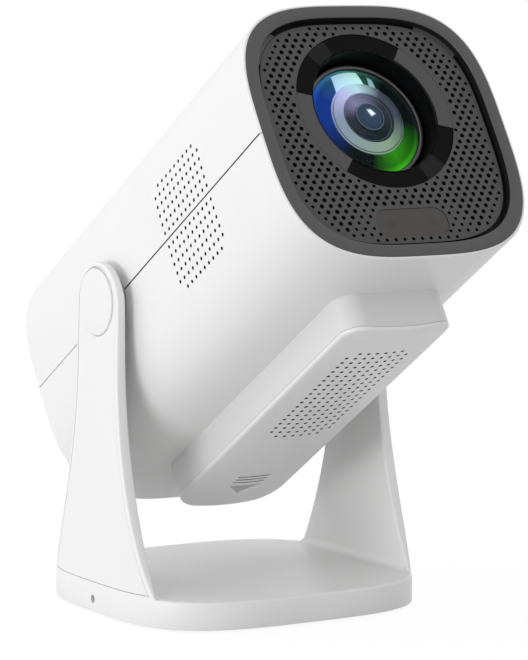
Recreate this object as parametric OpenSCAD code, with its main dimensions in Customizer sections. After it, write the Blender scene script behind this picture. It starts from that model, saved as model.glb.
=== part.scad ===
/* [Body] */
// Width and height of the body tube
body_w = 110; // [105:1:135]
// Length of the body from its rear edge to its front edge
body_len = 215; // [205:1:260]
// Distance from the rear edge of the body to the pivot
pivot_back = 79.8; // [76:0.1:90]
// Corner exponent of the body section, higher is squarer
body_n = 3.4; // [3:0.1:4]
// Wall of the two body shells
shell_wall = 2.2; // [1.8:0.1:2.8]

/* [Stand] */
// Height of the pivot axis above the table
pivot_h = 126; // [118:1:150]
// Tilt of the head above level in the stored pose, in degrees
tilt = 32.3; // [0:0.1:60]
// Depth of the base from front to back
base_d = 127; // [115:1:150]
// Thickness of the base with its pad
base_t = 12; // [11:0.5:16]
// Corner exponent of the base outline
base_n = 3.4; // [3:0.1:4]
// Gap between the body side and the inner face of an arm
arm_gap = 4.1; // [3.5:0.1:6]
// Thickness of an arm where it leaves the base
arm_root = 6.4; // [6:0.1:8]
// Lean of the outer face of an arm, in degrees
arm_lean = 1.3; // [0.8:0.1:1.5]
// Half width of an arm below its round head
arm_half = 17.2; // [16:0.1:20]
// Radius of the concave flare that widens an arm towards the base
flare_r = 188; // [170:1:230]
// Radius of the round cap over each pivot
cap_r = 13.5; // [11:0.5:14]
// Radius of the pivot shaft
shaft_r = 6; // [5:0.1:7]

/* [Front] */
// White rim of the shells left around the dark frame
rim_w = 1; // [0.8:0.1:1.4]
// Width of the dark frame
frame_w = 5; // [4:0.1:6]
// Depth of the grille face behind the front edge of the body
grille_recess = 2.4; // [1.5:0.1:4]
// Thickness of the grille panel
grille_t = 1.6; // [1.2:0.1:2.4]
// Pitch of the grille holes along a row
mesh_pitch = 3.91; // [3.5:0.01:5]
// Distance between rows of grille holes
mesh_row = 2.535; // [2.4:0.005:3.4]
// Diameter of a grille hole
mesh_hole = 1.8; // [1:0.1:1.9]
// Height of the lens axis above the body axis
lens_up = 9.5; // [6:0.5:10]
// Outer radius of the collar around the lens
collar_r = 33.5; // [32:0.1:35]
// Inner radius of the collar around the lens
collar_in = 27; // [26:0.1:28]

/* [Vents] */
// Pitch of the side vents and of the filter cover's holes
vent_pitch = 3.84; // [3.6:0.01:4]
// Diameter of a vent hole
vent_hole = 1.5; // [1:0.1:2]
// Rows of side vents on each side of the seam
vent_rows = 6; // [3:1:6]
// Holes in a full row of side vents
vent_cols = 11; // [7:2:11]
// Distance from the front edge of the body to the middle of the side vents
vent_back = 64.4; // [62:0.1:70]

/* [Bottom housing] */
// Width of the housing under the body
housing_w = 48.4; // [46:0.2:56]
// Length of the housing
housing_len = 161; // [150:1:170]
// Distance from the front edge of the body to the front of the housing
housing_back = 27.5; // [22:0.5:35]
// Drop of the housing below the body
housing_drop = 16; // [14:0.5:20]
// Radius of the crowned lower face of the filter cover
crown_r = 128; // [110:1:200]
// Thickness of the sliding filter cover
cover_t = 1.6; // [1.2:0.1:2.4]

/* [Optics] */
// Outer radius of the lens barrel
barrel_r = 24.5; // [23:0.1:25.5]
// Length of the lens barrel
barrel_len = 61.5; // [54:0.5:64]
// Radius of the front lens
glass_r = 22.2; // [21:0.1:22.6]
// Height of the front lens's dome
glass_sag = 7; // [4:0.5:8]
// Distance from the front edge of the body to the lens ring
barrel_back = 10.5; // [10:0.5:14]
// Teeth on the focus ring
ring_teeth = 64; // [60:1:66]
// Teeth on the focus motor's pinion
pinion_teeth = 10; // [10:1:12]
// Tooth module of the focus gears
gear_mod = 1; // [0.9:0.05:1.05]

/* [Fits] */
// Radial clearance of a shaft that turns or slides in its hole
running = 0.05; // [0.02:0.01:0.1]
// Clearance between pieces that are pushed together
seat = 0.1; // [0.05:0.05:0.2]
// Clearance between faces that move past each other
gap = 0.3; // [0.2:0.05:0.5]

/* [Hidden] */

$fn = 64;
outline_steps = 96;
eps = 0.01;

// Lengths along the body axis, counted forwards from the pivot
front_a = body_len - pivot_back;
rear_a = -pivot_back;
half = body_w / 2;
inner_half = half - shell_wall;

// Front frame and grille
frame_half = half - rim_w;
lip_half = frame_half - frame_w;
frame_proud = 0.3;
frame_depth = 6;
shelf_w = 2.6;
grille_slot = 1.6;
grille_half = lip_half - grille_slot;
grille_a = front_a - grille_recess;
mesh_margin = 1.2;
mesh_clear = 0.85;
mesh_edge = 1.7;
mesh_near = 10;
mesh_edge_hole = 1.4;
inlay_t = 0.8;
inlay_arcs = [[54, 165], [230, 345]];
frame_lugs = [[36, 58], [128, 146], [214, 232]];

// Autofocus window
window_w = 31.8;
window_h = 11.8;
window_down = 38.7;
window_r = 5.2;

// Stand
base_w = body_w + 2 * (arm_gap + arm_root);
base_wall = 2.6;
foot_h = 0.8;
arm_in = half + arm_gap;
head_drop = 1.2;
flare_top = pivot_h - 21;
arm_seam = 1.7;
arm_cover_t = 1.6;
arm_cover_foot = 1;
arm_fillet = 3;
floor_t = 2.2;
plate_t = 2.2;
ballast_t = 5;
base_boss_r = 4;
base_boss_x = 40;
base_boss_y = 44;
pad_inset = 9;
pad_hole_r = 4;
pad_sunk = 0.6;
screw_r = 1.5;
screw_head_r = 2.8;
screw_head_t = 1.6;
side_hole_r = 1.7;
side_hole_z = base_t / 2;

// Pivot stack
bush_wall = 2;
bush_r = shaft_r + running + bush_wall;
hub_neck_r = 10;
hub_flange_r = 14;
hub_flange_t = 2.4;
washer_t = 1;
pivot_screw_head_r = 7;
pivot_screw_head_t = 0.9;
cap_wall = 0.9;
cap_proud = 0.9;

// Bottom housing
housing_front = front_a - housing_back;
housing_rear = housing_front - housing_len;
housing_wall = 2;
housing_r_front = 9;
housing_r_rear = 11;
crown_z = -half - housing_drop + crown_r;
cover_rows = 20;
cover_cols = 8;
cover_mid = housing_front - 56.5;
duct_w = 34;
duct_len = 76;
filter_t = 5;
filter_w = 34;
filter_len = 84;

// Lens and focus drive
barrel_front = front_a - barrel_back;
barrel_rear = barrel_front - barrel_len;
barrel_bore = 20.5;
lens_seat_t = 5;
hood_wall = 1.2;
hood_len = 22;
hood_flange_t = 2;
ring_pitch_r = ring_teeth * gear_mod / 2;
pinion_pitch_r = pinion_teeth * gear_mod / 2;
ring_face = 8;
ring_a = barrel_rear + 20;
focus_travel = 3;
spline_w = 3;
spline_h = 1.2;
backlash = 0.2;
mesh_gap = 0.12;
pinion_drop = ring_pitch_r + pinion_pitch_r + mesh_gap;
clip_z = 14;
clip_x = 1.5 + sqrt(pow(ring_pitch_r + 0.9 * gear_mod + 0.6, 2) - pow(clip_z - 3, 2));
motor_r = 5;
motor_len = 13;

// Optical engine
duct_half_w = 40;
duct_half_h = 31;
duct_wall = 2;
duct_front = barrel_rear - 5;
duct_deep = 46;
tube_half = 28;
led_t = 2;
sink_deep = 24;
fan_size = 60;
fan_t = 11;
rear_panel_t = 2.5;
led_fan_a = rear_a + rear_panel_t + 0.6;
sink_a = led_fan_a + fan_t;
led_a = sink_a + sink_deep;
tube_a = led_a + led_t;
duct_rear = duct_front - duct_deep;
plate_slots = [8, 16, 24, 36];
slot_deep = 1.4;

// Boards and sockets
board_t = 1.6;
board_z = -36;
board_half_w = 38;
board_front = duct_rear - 3;
board_rear = rear_a + rear_panel_t + 1;
port_z = board_z + board_t;
port_clear = 0.3;

// Intake fan
intake_a = cover_mid;
intake_z = -48;
snout_w = 20.5;

// Power button
button_x = 39;
button_z = -14;
button_r = 5.5;
button_travel = 0.7;
stem_end = 4;

// Rear sockets and remote control window
hdmi_x = -24;
usb_x = -4;
jack_x = 12;
dc_x = 26;
ir_x = -40;
ir_z = -14;

// Outline with equal superellipse corners, half sizes hx and hy
module squircle(hx, hy, n)
    polygon([for (i = [0 : outline_steps - 1])
        let (t = 360 * i / outline_steps, c = cos(t), s = sin(t))
        [hx * sign(c) * pow(abs(c), 2 / n), hy * sign(s) * pow(abs(s), 2 / n)]]);

module body_outline(h) squircle(h, h, body_n);

// Height of a body outline of half size h at a distance x from its middle
function outline_z(x, h) = h * pow(1 - pow(abs(x) / h, body_n), 1 / body_n);

// Plan rectangle with round corners, centred
module rounded(w, h, r)
    union() {
        square([w - 2 * r, h], center = true);
        square([w, h - 2 * r], center = true);
        for (x = [-1, 1], y = [-1, 1])
            translate([x * (w / 2 - r), y * (h / 2 - r)]) circle(r);
    }

// Places the head's own frame (front towards -Y, up along +Z) at its stored tilt
module on_head() translate([0, 0, pivot_h]) rotate([-tilt, 0, 0]) children();

// Extrudes an X-Z outline along the body axis, from a0 forwards to a1
module along(a0, a1)
    translate([0, -a0, 0]) rotate([90, 0, 0]) linear_extrude(a1 - a0) children();

// Round bar along the body axis
module bar_a(x, z, r, a0, a1)
    translate([x, -a0, z]) rotate([90, 0, 0]) cylinder(r = r, h = a1 - a0);

// Box given by its limits in x, along the axis and in height
module block(x0, x1, a0, a1, z0, z1)
    translate([x0, -a1, z0]) cube([x1 - x0, a1 - a0, z1 - z0]);

// Round bar across the body, from x0 to x1
module bar_x(a, z, r, x0, x1)
    translate([x0, -a, z]) rotate([0, 90, 0]) cylinder(r = r, h = x1 - x0);

// Upright bar
module bar_z(x, a, r, z0, z1)
    translate([x, -a, z0]) cylinder(r = r, h = z1 - z0);

// Ring sector between two radii and two angles
module sector(r0, r1, t0, t1)
    difference() {
        polygon(concat([[0, 0]],
            [for (i = [0 : 24]) let (t = t0 + (t1 - t0) * i / 24) 1.2 * r1 * [cos(t), sin(t)]]));
        circle(r0);
        difference() {
            circle(2 * r1);
            circle(r1);
        }
    }

// Stand

module base_outline(inset) squircle(base_w / 2 - inset, base_d / 2 - inset, base_n);

// Upright prism of the base outline that leans inwards from the base's right edge
module leaning_prism(inset)
    translate([base_w / 2, 0, base_t]) rotate([0, -arm_lean, 0]) translate([-base_w / 2, 0, -2])
        linear_extrude(pivot_h + 2 * arm_half) base_outline(inset);

// Half width of an arm's side view at height z
function arm_width(z) = z > flare_top ? arm_half
    : arm_half + flare_r - sqrt(flare_r * flare_r - (flare_top - z) * (flare_top - z));

// Side view of an arm in y and z, drawn inset from its edges
module arm_view(inset, foot) {
    steps = 20;
    zs = [for (i = [0 : steps]) foot + (flare_top - foot) * i / steps];
    polygon(concat(
        [for (z = zs) [arm_width(z) - inset, z]],
        [[arm_half - inset, pivot_h - head_drop], [inset - arm_half, pivot_h - head_drop]],
        [for (i = [0 : steps]) let (z = zs[steps - i]) [inset - arm_width(z), z]]));
    translate([0, pivot_h - head_drop]) circle(arm_half - inset, $fn = 96);
}

module arm_block(inset, foot, x0)
    translate([x0, 0, 0]) rotate([90, 0, 90]) linear_extrude(base_w / 2 + 2 - x0)
        arm_view(inset, foot);

module right_arm()
    difference() {
        union() {
            intersection() {
                leaning_prism(0);
                arm_block(0, base_t - 1, arm_in);
            }
            intersection() {
                translate([arm_in - arm_fillet, -base_d / 2, base_t - 1])
                    cube([arm_fillet + 1, base_d, arm_fillet + 1]);
                arm_block(0, base_t - 1, arm_in - arm_fillet);
                difference() {
                    linear_extrude(2 * base_t) base_outline(0.5);
                    translate([arm_in - arm_fillet, -base_d, base_t + arm_fillet]) rotate([-90, 0, 0])
                        cylinder(r = arm_fillet, h = 2 * base_d);
                }
            }
        }
        difference() {
            arm_block(arm_seam, base_t + arm_cover_foot, arm_in + 1);
            leaning_prism(arm_cover_t + seat);
        }
        translate([arm_in - 5, 0, pivot_h]) rotate([0, 90, 0]) cylinder(r = bush_r + seat / 2, h = 20);
    }

module base_boss_places()
    for (x = [-1, 1], y = [-1, 1]) translate([x * base_boss_x, y * base_boss_y, 0]) children();

module stand_yoke() color("white") difference() {
    union() {
        difference() {
            translate([0, 0, foot_h]) linear_extrude(base_t - foot_h) base_outline(0);
            translate([0, 0, -1]) linear_extrude(base_t - floor_t + 1) base_outline(base_wall);
        }
        base_boss_places() translate([0, 0, foot_h + plate_t])
            cylinder(r = base_boss_r, h = base_t - floor_t - foot_h - plate_t + eps);
        for (s = [0, 1]) mirror([s, 0, 0])
            translate([base_w / 2 - base_wall - 6.5, -4.5, foot_h + plate_t])
                cube([7, 9, base_t - floor_t - foot_h - plate_t + eps]);
        right_arm();
        mirror([1, 0, 0]) right_arm();
    }
    base_boss_places() translate([0, 0, -1]) cylinder(r = screw_r, h = base_t - floor_t);
    for (s = [0, 1]) mirror([s, 0, 0]) translate([base_w / 2 - 14, 0, side_hole_z])
        rotate([0, 90, 0]) cylinder(r = side_hole_r, h = 20);
}

module right_arm_cover() difference() {
    intersection() {
        leaning_prism(0);
        arm_block(arm_seam + seat, base_t + arm_cover_foot + seat, arm_in + 1);
    }
    leaning_prism(arm_cover_t);
    translate([arm_in - 5, 0, pivot_h]) rotate([0, 90, 0]) cylinder(r = cap_r + seat, h = 20);
}

module arm_cover_right() color("white") right_arm_cover();
module arm_cover_left() color("white") mirror([1, 0, 0]) right_arm_cover();

// Outer face of an arm at pivot height
arm_face = base_w / 2 - (pivot_h - base_t) * tan(arm_lean);

module right_cap() difference() {
    translate([arm_in, 0, pivot_h]) rotate([0, 90, 0]) union() {
        cylinder(r = cap_r, h = arm_face - arm_in + cap_proud - 0.6);
        translate([0, 0, arm_face - arm_in + cap_proud - 0.6 - eps])
            cylinder(r1 = cap_r, r2 = cap_r - 0.9, h = 0.6);
    }
    leaning_prism(arm_cover_t + seat);
    translate([arm_in - 1, 0, pivot_h]) rotate([0, 90, 0])
        cylinder(r = cap_r - 3, h = arm_face - arm_in + 1 + cap_proud - cap_wall);
}

module pivot_cap_right() color("white") right_cap();
module pivot_cap_left() color("white") mirror([1, 0, 0]) right_cap();

// Plain bushes pressed into the arms, the shaft turns in them
bush_len = arm_face - arm_in - arm_cover_t - 0.8;
module pivot_bushes() color("gainsboro") for (s = [0, 1]) mirror([s, 0, 0])
    translate([arm_in, 0, pivot_h]) rotate([0, 90, 0]) difference() {
        cylinder(r = bush_r, h = bush_len);
        translate([0, 0, -1]) cylinder(r = shaft_r + running, h = bush_len + 2);
    }

module base_plate() color("dimgray") difference() {
    translate([0, 0, foot_h]) linear_extrude(plate_t) base_outline(base_wall + seat);
    base_boss_places() {
        translate([0, 0, -1]) cylinder(r = screw_r + seat, h = 10);
        translate([0, 0, -1]) cylinder(r = screw_head_r + seat, h = 1 + foot_h + 1.2);
    }
    translate([0, 0, -1]) linear_extrude(1 + foot_h + pad_sunk) pad_outline(-seat);
}

// One-piece rubber pad with a hole round each screw
module pad_outline(inset) difference() {
    base_outline(pad_inset + inset);
    base_boss_places() circle(pad_hole_r + inset);
}

module base_pad() color("black") linear_extrude(foot_h + pad_sunk) pad_outline(0);

module base_ballast() color("slategray") difference() {
    translate([0, 0, foot_h + plate_t]) linear_extrude(ballast_t) intersection() {
        rounded(2 * (base_w / 2 - base_wall - 8), base_d - 27, 8);
        base_outline(base_wall + 1);
    }
    base_boss_places() translate([0, 0, -1]) cylinder(r = base_boss_r + 0.6, h = 20);
}

module base_screws() color("silver") base_boss_places() {
    translate([0, 0, foot_h + 1.2 - screw_head_t + 0.4]) cylinder(r = screw_head_r, h = screw_head_t - 0.4);
    translate([0, 0, foot_h + 1.2 - eps]) cylinder(r = screw_r - running, h = 6);
}

module ballast_grub_screws() color("silver") for (s = [0, 1]) mirror([s, 0, 0])
    translate([base_w / 2 - base_wall - 8, 0, side_hole_z]) rotate([0, 90, 0])
        cylinder(r = side_hole_r - running, h = 7);

// Head shells

module vent_places(up) {
    mid = front_a - vent_back;
    first = vent_pitch * 0.768;
    for (r = [0 : vent_rows - 1]) {
        cut = r == vent_rows - 1 ? 1 : 0;
        for (c = [cut : vent_cols - 1 - cut])
            translate([0, -(mid + (c - (vent_cols - 1) / 2) * vent_pitch), up * (first + r * vent_pitch)])
                children();
    }
}

// Middle of a rear screw boss, on the diagonal just inside the shells
screw_at = inner_half * pow(0.5, 1 / body_n) - 2.7;
rear_boss_r = 4.1;

// One half of the body tube, up = 1 for the upper and -1 for the lower
module half_shell(up) difference() {
    union() {
        difference() {
            along(rear_a, front_a) body_outline(half);
            along(rear_a - 1, front_a + 1) body_outline(inner_half);
        }
        intersection() {
            along(rear_a, rear_a + 18) body_outline(half);
            for (x = [-1, 1], z = [-1, 1])
                bar_a(x * screw_at, z * screw_at, rear_boss_r, rear_a + rear_panel_t, rear_a + 16);
        }
    }
    translate([-body_w, -body_len, up > 0 ? -body_w : 0]) cube([2 * body_w, 2 * body_len, body_w]);
    along(front_a - frame_depth, front_a + 1) body_outline(frame_half + seat);
    along(rear_a - 1, rear_a + rear_panel_t) body_outline(frame_half + seat);
    for (x = [-1, 1])
        bar_a(x * screw_at, up * screw_at, screw_r - 0.25, rear_a, rear_a + 14);
    for (s = [-1, 1]) bar_x(0, 0, hub_neck_r + seat, s * half - 6, s * half + 6);
    vent_places(up) for (s = [-1, 1]) translate([s * half - 4, 0, 0]) rotate([0, 90, 0])
        cylinder(r = vent_hole / 2, h = 8, $fn = 16);
}

module upper_shell() color("white") on_head() half_shell(1);

// Floor posts for the boards and the optical engine: x, distance along the axis, top
function post_list() = [
    [duct_half_w - 5, duct_rear + 4, lens_up - duct_half_h],
    [duct_half_w - 5, duct_front - 3, lens_up - duct_half_h],
    [board_half_w - 5, board_rear + 6, board_z],
    [board_half_w - 5, board_front - 8, board_z]
];

module lower_shell() color("white") on_head() {
    difference() {
        union() {
            half_shell(-1);
            intersection() {
                along(rear_a, front_a) body_outline(half - 0.5 * shell_wall);
                for (p = post_list(), s = [-1, 1]) bar_z(s * p[0], p[1], 3, -half, p[2]);
            }
        }
        block(-duct_w / 2, duct_w / 2, cover_mid - duct_len / 2, cover_mid + duct_len / 2,
            -half - 1, -half + 8);
    }
}

module pivot_hubs() color("silver") on_head() for (s = [0, 1]) mirror([s, 0, 0]) difference() {
    union() {
        bar_x(0, 0, hub_flange_r, inner_half - hub_flange_t - 0.6, inner_half - 0.6);
        bar_x(0, 0, hub_neck_r, inner_half - 0.6 - eps, arm_in - washer_t);
        bar_x(0, 0, shaft_r, arm_in - washer_t - eps, arm_in + bush_len + 0.1);
    }
    bar_x(0, 0, 2, inner_half - 10, arm_in + 10);
}

module friction_washers() color("dimgray") on_head() for (s = [0, 1]) mirror([s, 0, 0]) difference() {
    bar_x(0, 0, hub_neck_r + 1, arm_in - washer_t, arm_in);
    bar_x(0, 0, shaft_r + running, arm_in - 5, arm_in + 5);
}

module pivot_screws() color("silver") on_head() for (s = [0, 1]) mirror([s, 0, 0]) {
    bar_x(0, 0, pivot_screw_head_r, arm_in + bush_len + 0.1, arm_in + bush_len + 0.1 + pivot_screw_head_t);
    bar_x(0, 0, 2 - running, inner_half - 2.6, arm_in + bush_len + 0.1 + eps);
}

// Front of the head

module front_frame() color([0.22, 0.22, 0.23]) on_head() {
    difference() {
        along(front_a - frame_depth, front_a + frame_proud) body_outline(frame_half);
        along(grille_a - grille_t, front_a + 2) body_outline(lip_half);
        along(front_a - frame_depth - 1, front_a) body_outline(grille_half - shelf_w);
    }
    for (t = frame_lugs) along(grille_a - grille_t - eps, grille_a)
        intersection() {
            difference() {
                body_outline(lip_half + 0.5);
                body_outline(grille_half + seat);
            }
            sector(20, 90, t[0], t[1]);
        }
}

// True where a grille hole is clear of the rim, the collar and the window
function mesh_reach(x, z) = pow(pow(abs(x), body_n) + pow(abs(z), body_n), 1 / body_n);
function window_gap(x, z) = norm([max(0, abs(x) - window_w / 2 + window_r),
    max(0, abs(z + window_down) - window_h / 2 + window_r)]) - window_r;
function mesh_ok(x, z) = mesh_reach(x, z) < grille_half - mesh_margin
    && norm([x, z - lens_up]) > collar_r + mesh_clear
    && window_gap(x, z) > mesh_clear;

// True for the smaller holes along the rim, against the collar and beside the window
function mesh_small(x, z) = mesh_reach(x, z) > grille_half - mesh_margin - mesh_edge
    || norm([x, z - lens_up]) < collar_r + mesh_clear + 0.7
    || (z + window_down < window_h / 2 + mesh_clear
        && abs(x) + mesh_pitch / mesh_row / 2 * (z + window_down) < window_w / 2 + mesh_near);

mesh_rows = floor(grille_half / mesh_row);
mesh_cols = floor(grille_half / mesh_pitch) + 1;

module front_grille() color([0.3, 0.3, 0.31]) on_head() along(grille_a - grille_t, grille_a)
    difference() {
        body_outline(grille_half);
        translate([0, lens_up]) circle(collar_r, $fn = 128);
        translate([0, -window_down]) rounded(window_w, window_h, window_r);
        for (r = [-mesh_rows : mesh_rows], c = [-mesh_cols : mesh_cols])
            let (x = (c + (r % 2 == 0 ? 0.5 : 0)) * mesh_pitch, z = r * mesh_row)
                if (mesh_ok(x, z)) translate([x, z])
                    circle((mesh_small(x, z) ? min(mesh_edge_hole, mesh_hole) : mesh_hole) / 2, $fn = 14);
    }

module lens_collar() color([0.3, 0.3, 0.31]) on_head() translate([0, 0, lens_up]) difference() {
    union() {
        along(grille_a - grille_t, grille_a) circle(collar_r - seat, $fn = 128);
        along(grille_a - grille_t - 1.4, grille_a - grille_t) circle(collar_r + 1.6, $fn = 128);
    }
    along(grille_a - 9, grille_a + 1) circle(collar_in, $fn = 128);
    for (t = inlay_arcs) along(grille_a - inlay_t, grille_a + 1) sector(collar_in - 1, collar_r, t[0], t[1]);
}

module collar_inlays() color("black") on_head() translate([0, 0, lens_up]) for (t = inlay_arcs)
    along(grille_a - inlay_t, grille_a - 0.3) sector(collar_in, collar_r - 2 * seat, t[0] + 0.2, t[1] - 0.2);

module lens_hood() color([0.05, 0.05, 0.05]) on_head() translate([0, 0, lens_up]) difference() {
    union() {
        along(grille_a - hood_len, grille_a - grille_t - 1.4) circle(collar_in + hood_wall, $fn = 96);
        along(grille_a - grille_t - 3, grille_a - grille_t - 1.4) circle(collar_r + 1, $fn = 96);
        along(grille_a - grille_t - 1.5, grille_a - 0.3) circle(collar_in - seat, $fn = 96);
    }
    along(grille_a - hood_len + hood_flange_t, grille_a + 1) circle(collar_in - 0.8, $fn = 96);
    along(grille_a - hood_len - 1, grille_a) circle(barrel_r + running, $fn = 96);
}

module af_window() color([0.25, 0.12, 0.12]) on_head() translate([0, 0, -window_down])
    along(grille_a - grille_t, grille_a - 0.2)
        rounded(window_w - 2 * seat, window_h - 2 * seat, window_r - seat);

module af_sensor_board() color("darkgreen") on_head() translate([0, 0, -window_down]) {
    back = grille_a - grille_t;
    block(-13, 13, back - 6.6, back - 5.2, -5, 5);
    for (x = [-9, 9]) bar_a(x, 0, 2.6, back - 5.3, back - 0.2);
    for (x = [-12, 12]) block(x - 0.9, x + 0.9, back - 5.3, back, -4.5, -3);
}

// Rear of the head

module rear_panel() color("white") on_head() difference() {
    along(rear_a, rear_a + rear_panel_t) body_outline(frame_half);
    for (x = [-1, 1], z = [-1, 1]) {
        bar_a(x * screw_at, z * screw_at, screw_r + seat, rear_a - 1, rear_a + 5);
        bar_a(x * screw_at, z * screw_at, screw_head_r + seat, rear_a - 1, rear_a + 1.3);
    }
    for (r = [-4 : 4]) let (z = lens_up + r * 5.2, w = sqrt(27 * 27 - r * r * 27))
        translate([0, 0, z]) along(rear_a - 1, rear_a + 5) rounded(2 * w, 2.4, 1.15);
    hdmi_cut = [15 + 2 * port_clear, 5.6 + 2 * port_clear];
    translate([hdmi_x, 0, port_z + 2.8]) along(rear_a - 1, rear_a + 5) square(hdmi_cut, center = true);
    translate([usb_x, 0, port_z + 3.4]) along(rear_a - 1, rear_a + 5)
        square([13.2 + 2 * port_clear, 6.8 + 2 * port_clear], center = true);
    bar_a(jack_x, port_z + 3.5, 3 + port_clear, rear_a - 1, rear_a + 5);
    bar_a(dc_x, port_z + 5.5, 4.5 + port_clear, rear_a - 1, rear_a + 5);
    bar_a(ir_x, ir_z, 3.5, rear_a - 1, rear_a + 5);
    bar_a(button_x, button_z, button_r + gap, rear_a - 1, rear_a + 5);
}

module rear_screws() color("silver") on_head() for (x = [-1, 1], z = [-1, 1]) {
    bar_a(x * screw_at, z * screw_at, screw_head_r, rear_a + 0.1, rear_a + 1.3);
    bar_a(x * screw_at, z * screw_at, screw_r - 0.25 - running, rear_a + 1.3 - eps, rear_a + 12);
}

module hdmi_socket() color("silver") on_head() translate([hdmi_x, 0, port_z]) difference() {
    block(-7.5, 7.5, rear_a + 0.4, rear_a + 12, 0, 5.6);
    block(-7, 7, rear_a - 1, rear_a + 10, 0.5, 5.1);
    block(-8, -6.2, rear_a - 1, rear_a + 10, -1, 1.4);
    block(6.2, 8, rear_a - 1, rear_a + 10, -1, 1.4);
}

module usb_socket() color("silver") on_head() translate([usb_x, 0, port_z]) {
    difference() {
        block(-6.6, 6.6, rear_a + 0.4, rear_a + 14, 0, 6.8);
        block(-6.1, 6.1, rear_a - 1, rear_a + 12, 0.5, 6.3);
    }
    block(-5.5, 5.5, rear_a + 1.6, rear_a + 12.5, 3.4, 5.2);
}

module audio_jack() color([0.1, 0.1, 0.1]) on_head() translate([jack_x, 0, port_z]) difference() {
    union() {
        block(-3.5, 3.5, rear_a + rear_panel_t + 0.2, rear_a + 14, 0, 7);
        bar_a(0, 3.5, 3, rear_a + 0.3, rear_a + rear_panel_t + 0.3);
    }
    bar_a(0, 3.5, 1.8, rear_a - 1, rear_a + 13);
}

module dc_inlet() color([0.1, 0.1, 0.1]) on_head() translate([dc_x, 0, port_z]) {
    difference() {
        union() {
            block(-4.5, 4.5, rear_a + rear_panel_t + 0.2, rear_a + 14, 0, 11);
            bar_a(0, 5.5, 4.4, rear_a + 0.3, rear_a + rear_panel_t + 0.3);
        }
        bar_a(0, 5.5, 2.85, rear_a - 1, rear_a + 10);
    }
    bar_a(0, 5.5, 1, rear_a + 1.5, rear_a + 11);
}

module ir_window() color([0.15, 0.05, 0.08]) on_head() {
    bar_a(ir_x, ir_z, 3.5 - seat, rear_a + 0.2, rear_a + rear_panel_t);
    bar_a(ir_x, ir_z, 4.6, rear_a + rear_panel_t, rear_a + rear_panel_t + 1.2);
}

module power_button() color([0.15, 0.15, 0.16]) on_head() translate([button_x, 0, button_z]) {
    bar_a(0, 0, button_r, rear_a - 0.6, rear_a + rear_panel_t + gap + eps);
    bar_a(0, 0, button_r + 1.2, rear_a + rear_panel_t + gap, rear_a + rear_panel_t + gap + 1);
    bar_a(0, 0, 1.5, rear_a + rear_panel_t + gap + 1 - eps, rear_a + rear_panel_t + stem_end);
}

// Switch with its own return dome, on an upright board that stands on the main board
switch_a = rear_a + rear_panel_t + stem_end + button_travel + 0.2;
module button_switch() color("dimgray") on_head() {
    block(button_x - 3.1, button_x + 3.1, switch_a, switch_a + 2.8, button_z - 3.1, button_z + 3.1);
    block(button_x - 6, button_x + 3.5, switch_a + 2.8, switch_a + 4.2, port_z, button_z + 5);
}

// Boards

module main_board() color("darkgreen") on_head() {
    block(-board_half_w, board_half_w, board_rear, board_front, board_z, board_z + board_t);
    block(-14, 6, board_front - 50, board_front - 30, port_z - eps, port_z + 2);
    block(12, 24, board_front - 46, board_front - 30, port_z - eps, port_z + 1.4);
    block(-32, -20, board_front - 24, board_front - 6, port_z - eps, port_z + 1.4);
    for (i = [0 : 3]) bar_z(8 + 7 * i, board_front - 12, 2.5, port_z - eps, port_z + 7);
}

module driver_board() color("darkgreen") on_head() {
    top = lens_up + tube_half;
    block(-26, 26, tube_a + 4, duct_rear - 2, top + 3, top + 3 + board_t);
    block(-20, -8, tube_a + 12, tube_a + 24, top + 3 + board_t - eps, top + 3 + board_t + 5);
    for (i = [0 : 2]) bar_z(2 + 8 * i, tube_a + 16, 3, top + 3 + board_t - eps, top + 3 + board_t + 6);
}

// Optical engine

module light_engine() color([0.12, 0.12, 0.13]) on_head() translate([0, 0, lens_up]) {
    difference() {
        union() {
            block(-duct_half_w, duct_half_w, duct_rear, duct_front, -duct_half_h, duct_half_h);
            block(-tube_half, tube_half, tube_a, duct_rear + 1, -tube_half, tube_half);
        }
        block(duct_wall - duct_half_w, duct_half_w - duct_wall, duct_rear + duct_wall, duct_front + 1,
            duct_wall - duct_half_h, duct_half_h - duct_wall);
        block(duct_wall - tube_half, tube_half - duct_wall, tube_a + duct_wall, duct_rear + 3,
            duct_wall - tube_half, tube_half - duct_wall);
        block(-11, 11, tube_a - 1, tube_a + 5, -11, 11);
        for (p = plate_slots) block(slot_deep - duct_half_w, duct_half_w - slot_deep,
            duct_front - p - 1.6, duct_front - p + 1.6, slot_deep - duct_half_h, duct_half_h - slot_deep);
        bar_a(0, 0, tube_half - slot_deep, tube_a + 15, tube_a + 19);
    }
    for (x = [-22, 22], a = [tube_a + 8, duct_rear - 6]) bar_z(x, a, 2.5, tube_half - eps, tube_half + 3);
}

// Flat plate in one of the engine's slots
module engine_plate(p, t)
    translate([0, 0, lens_up]) block(slot_deep + seat - duct_half_w, duct_half_w - slot_deep - seat,
        duct_front - p - t / 2, duct_front - p + t / 2,
        slot_deep + seat - duct_half_h, duct_half_h - slot_deep - seat);

module fresnel_front() color([0.8, 0.9, 0.95, 0.5]) on_head() engine_plate(plate_slots[0], 2);
module lcd_panel() color([0.2, 0.25, 0.3, 0.8]) on_head() engine_plate(plate_slots[1], 2.6);
module fresnel_rear() color([0.8, 0.9, 0.95, 0.5]) on_head() engine_plate(plate_slots[2], 2);
module heat_filter() color([0.8, 0.9, 0.85, 0.5]) on_head() engine_plate(plate_slots[3], 1.6);

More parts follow.
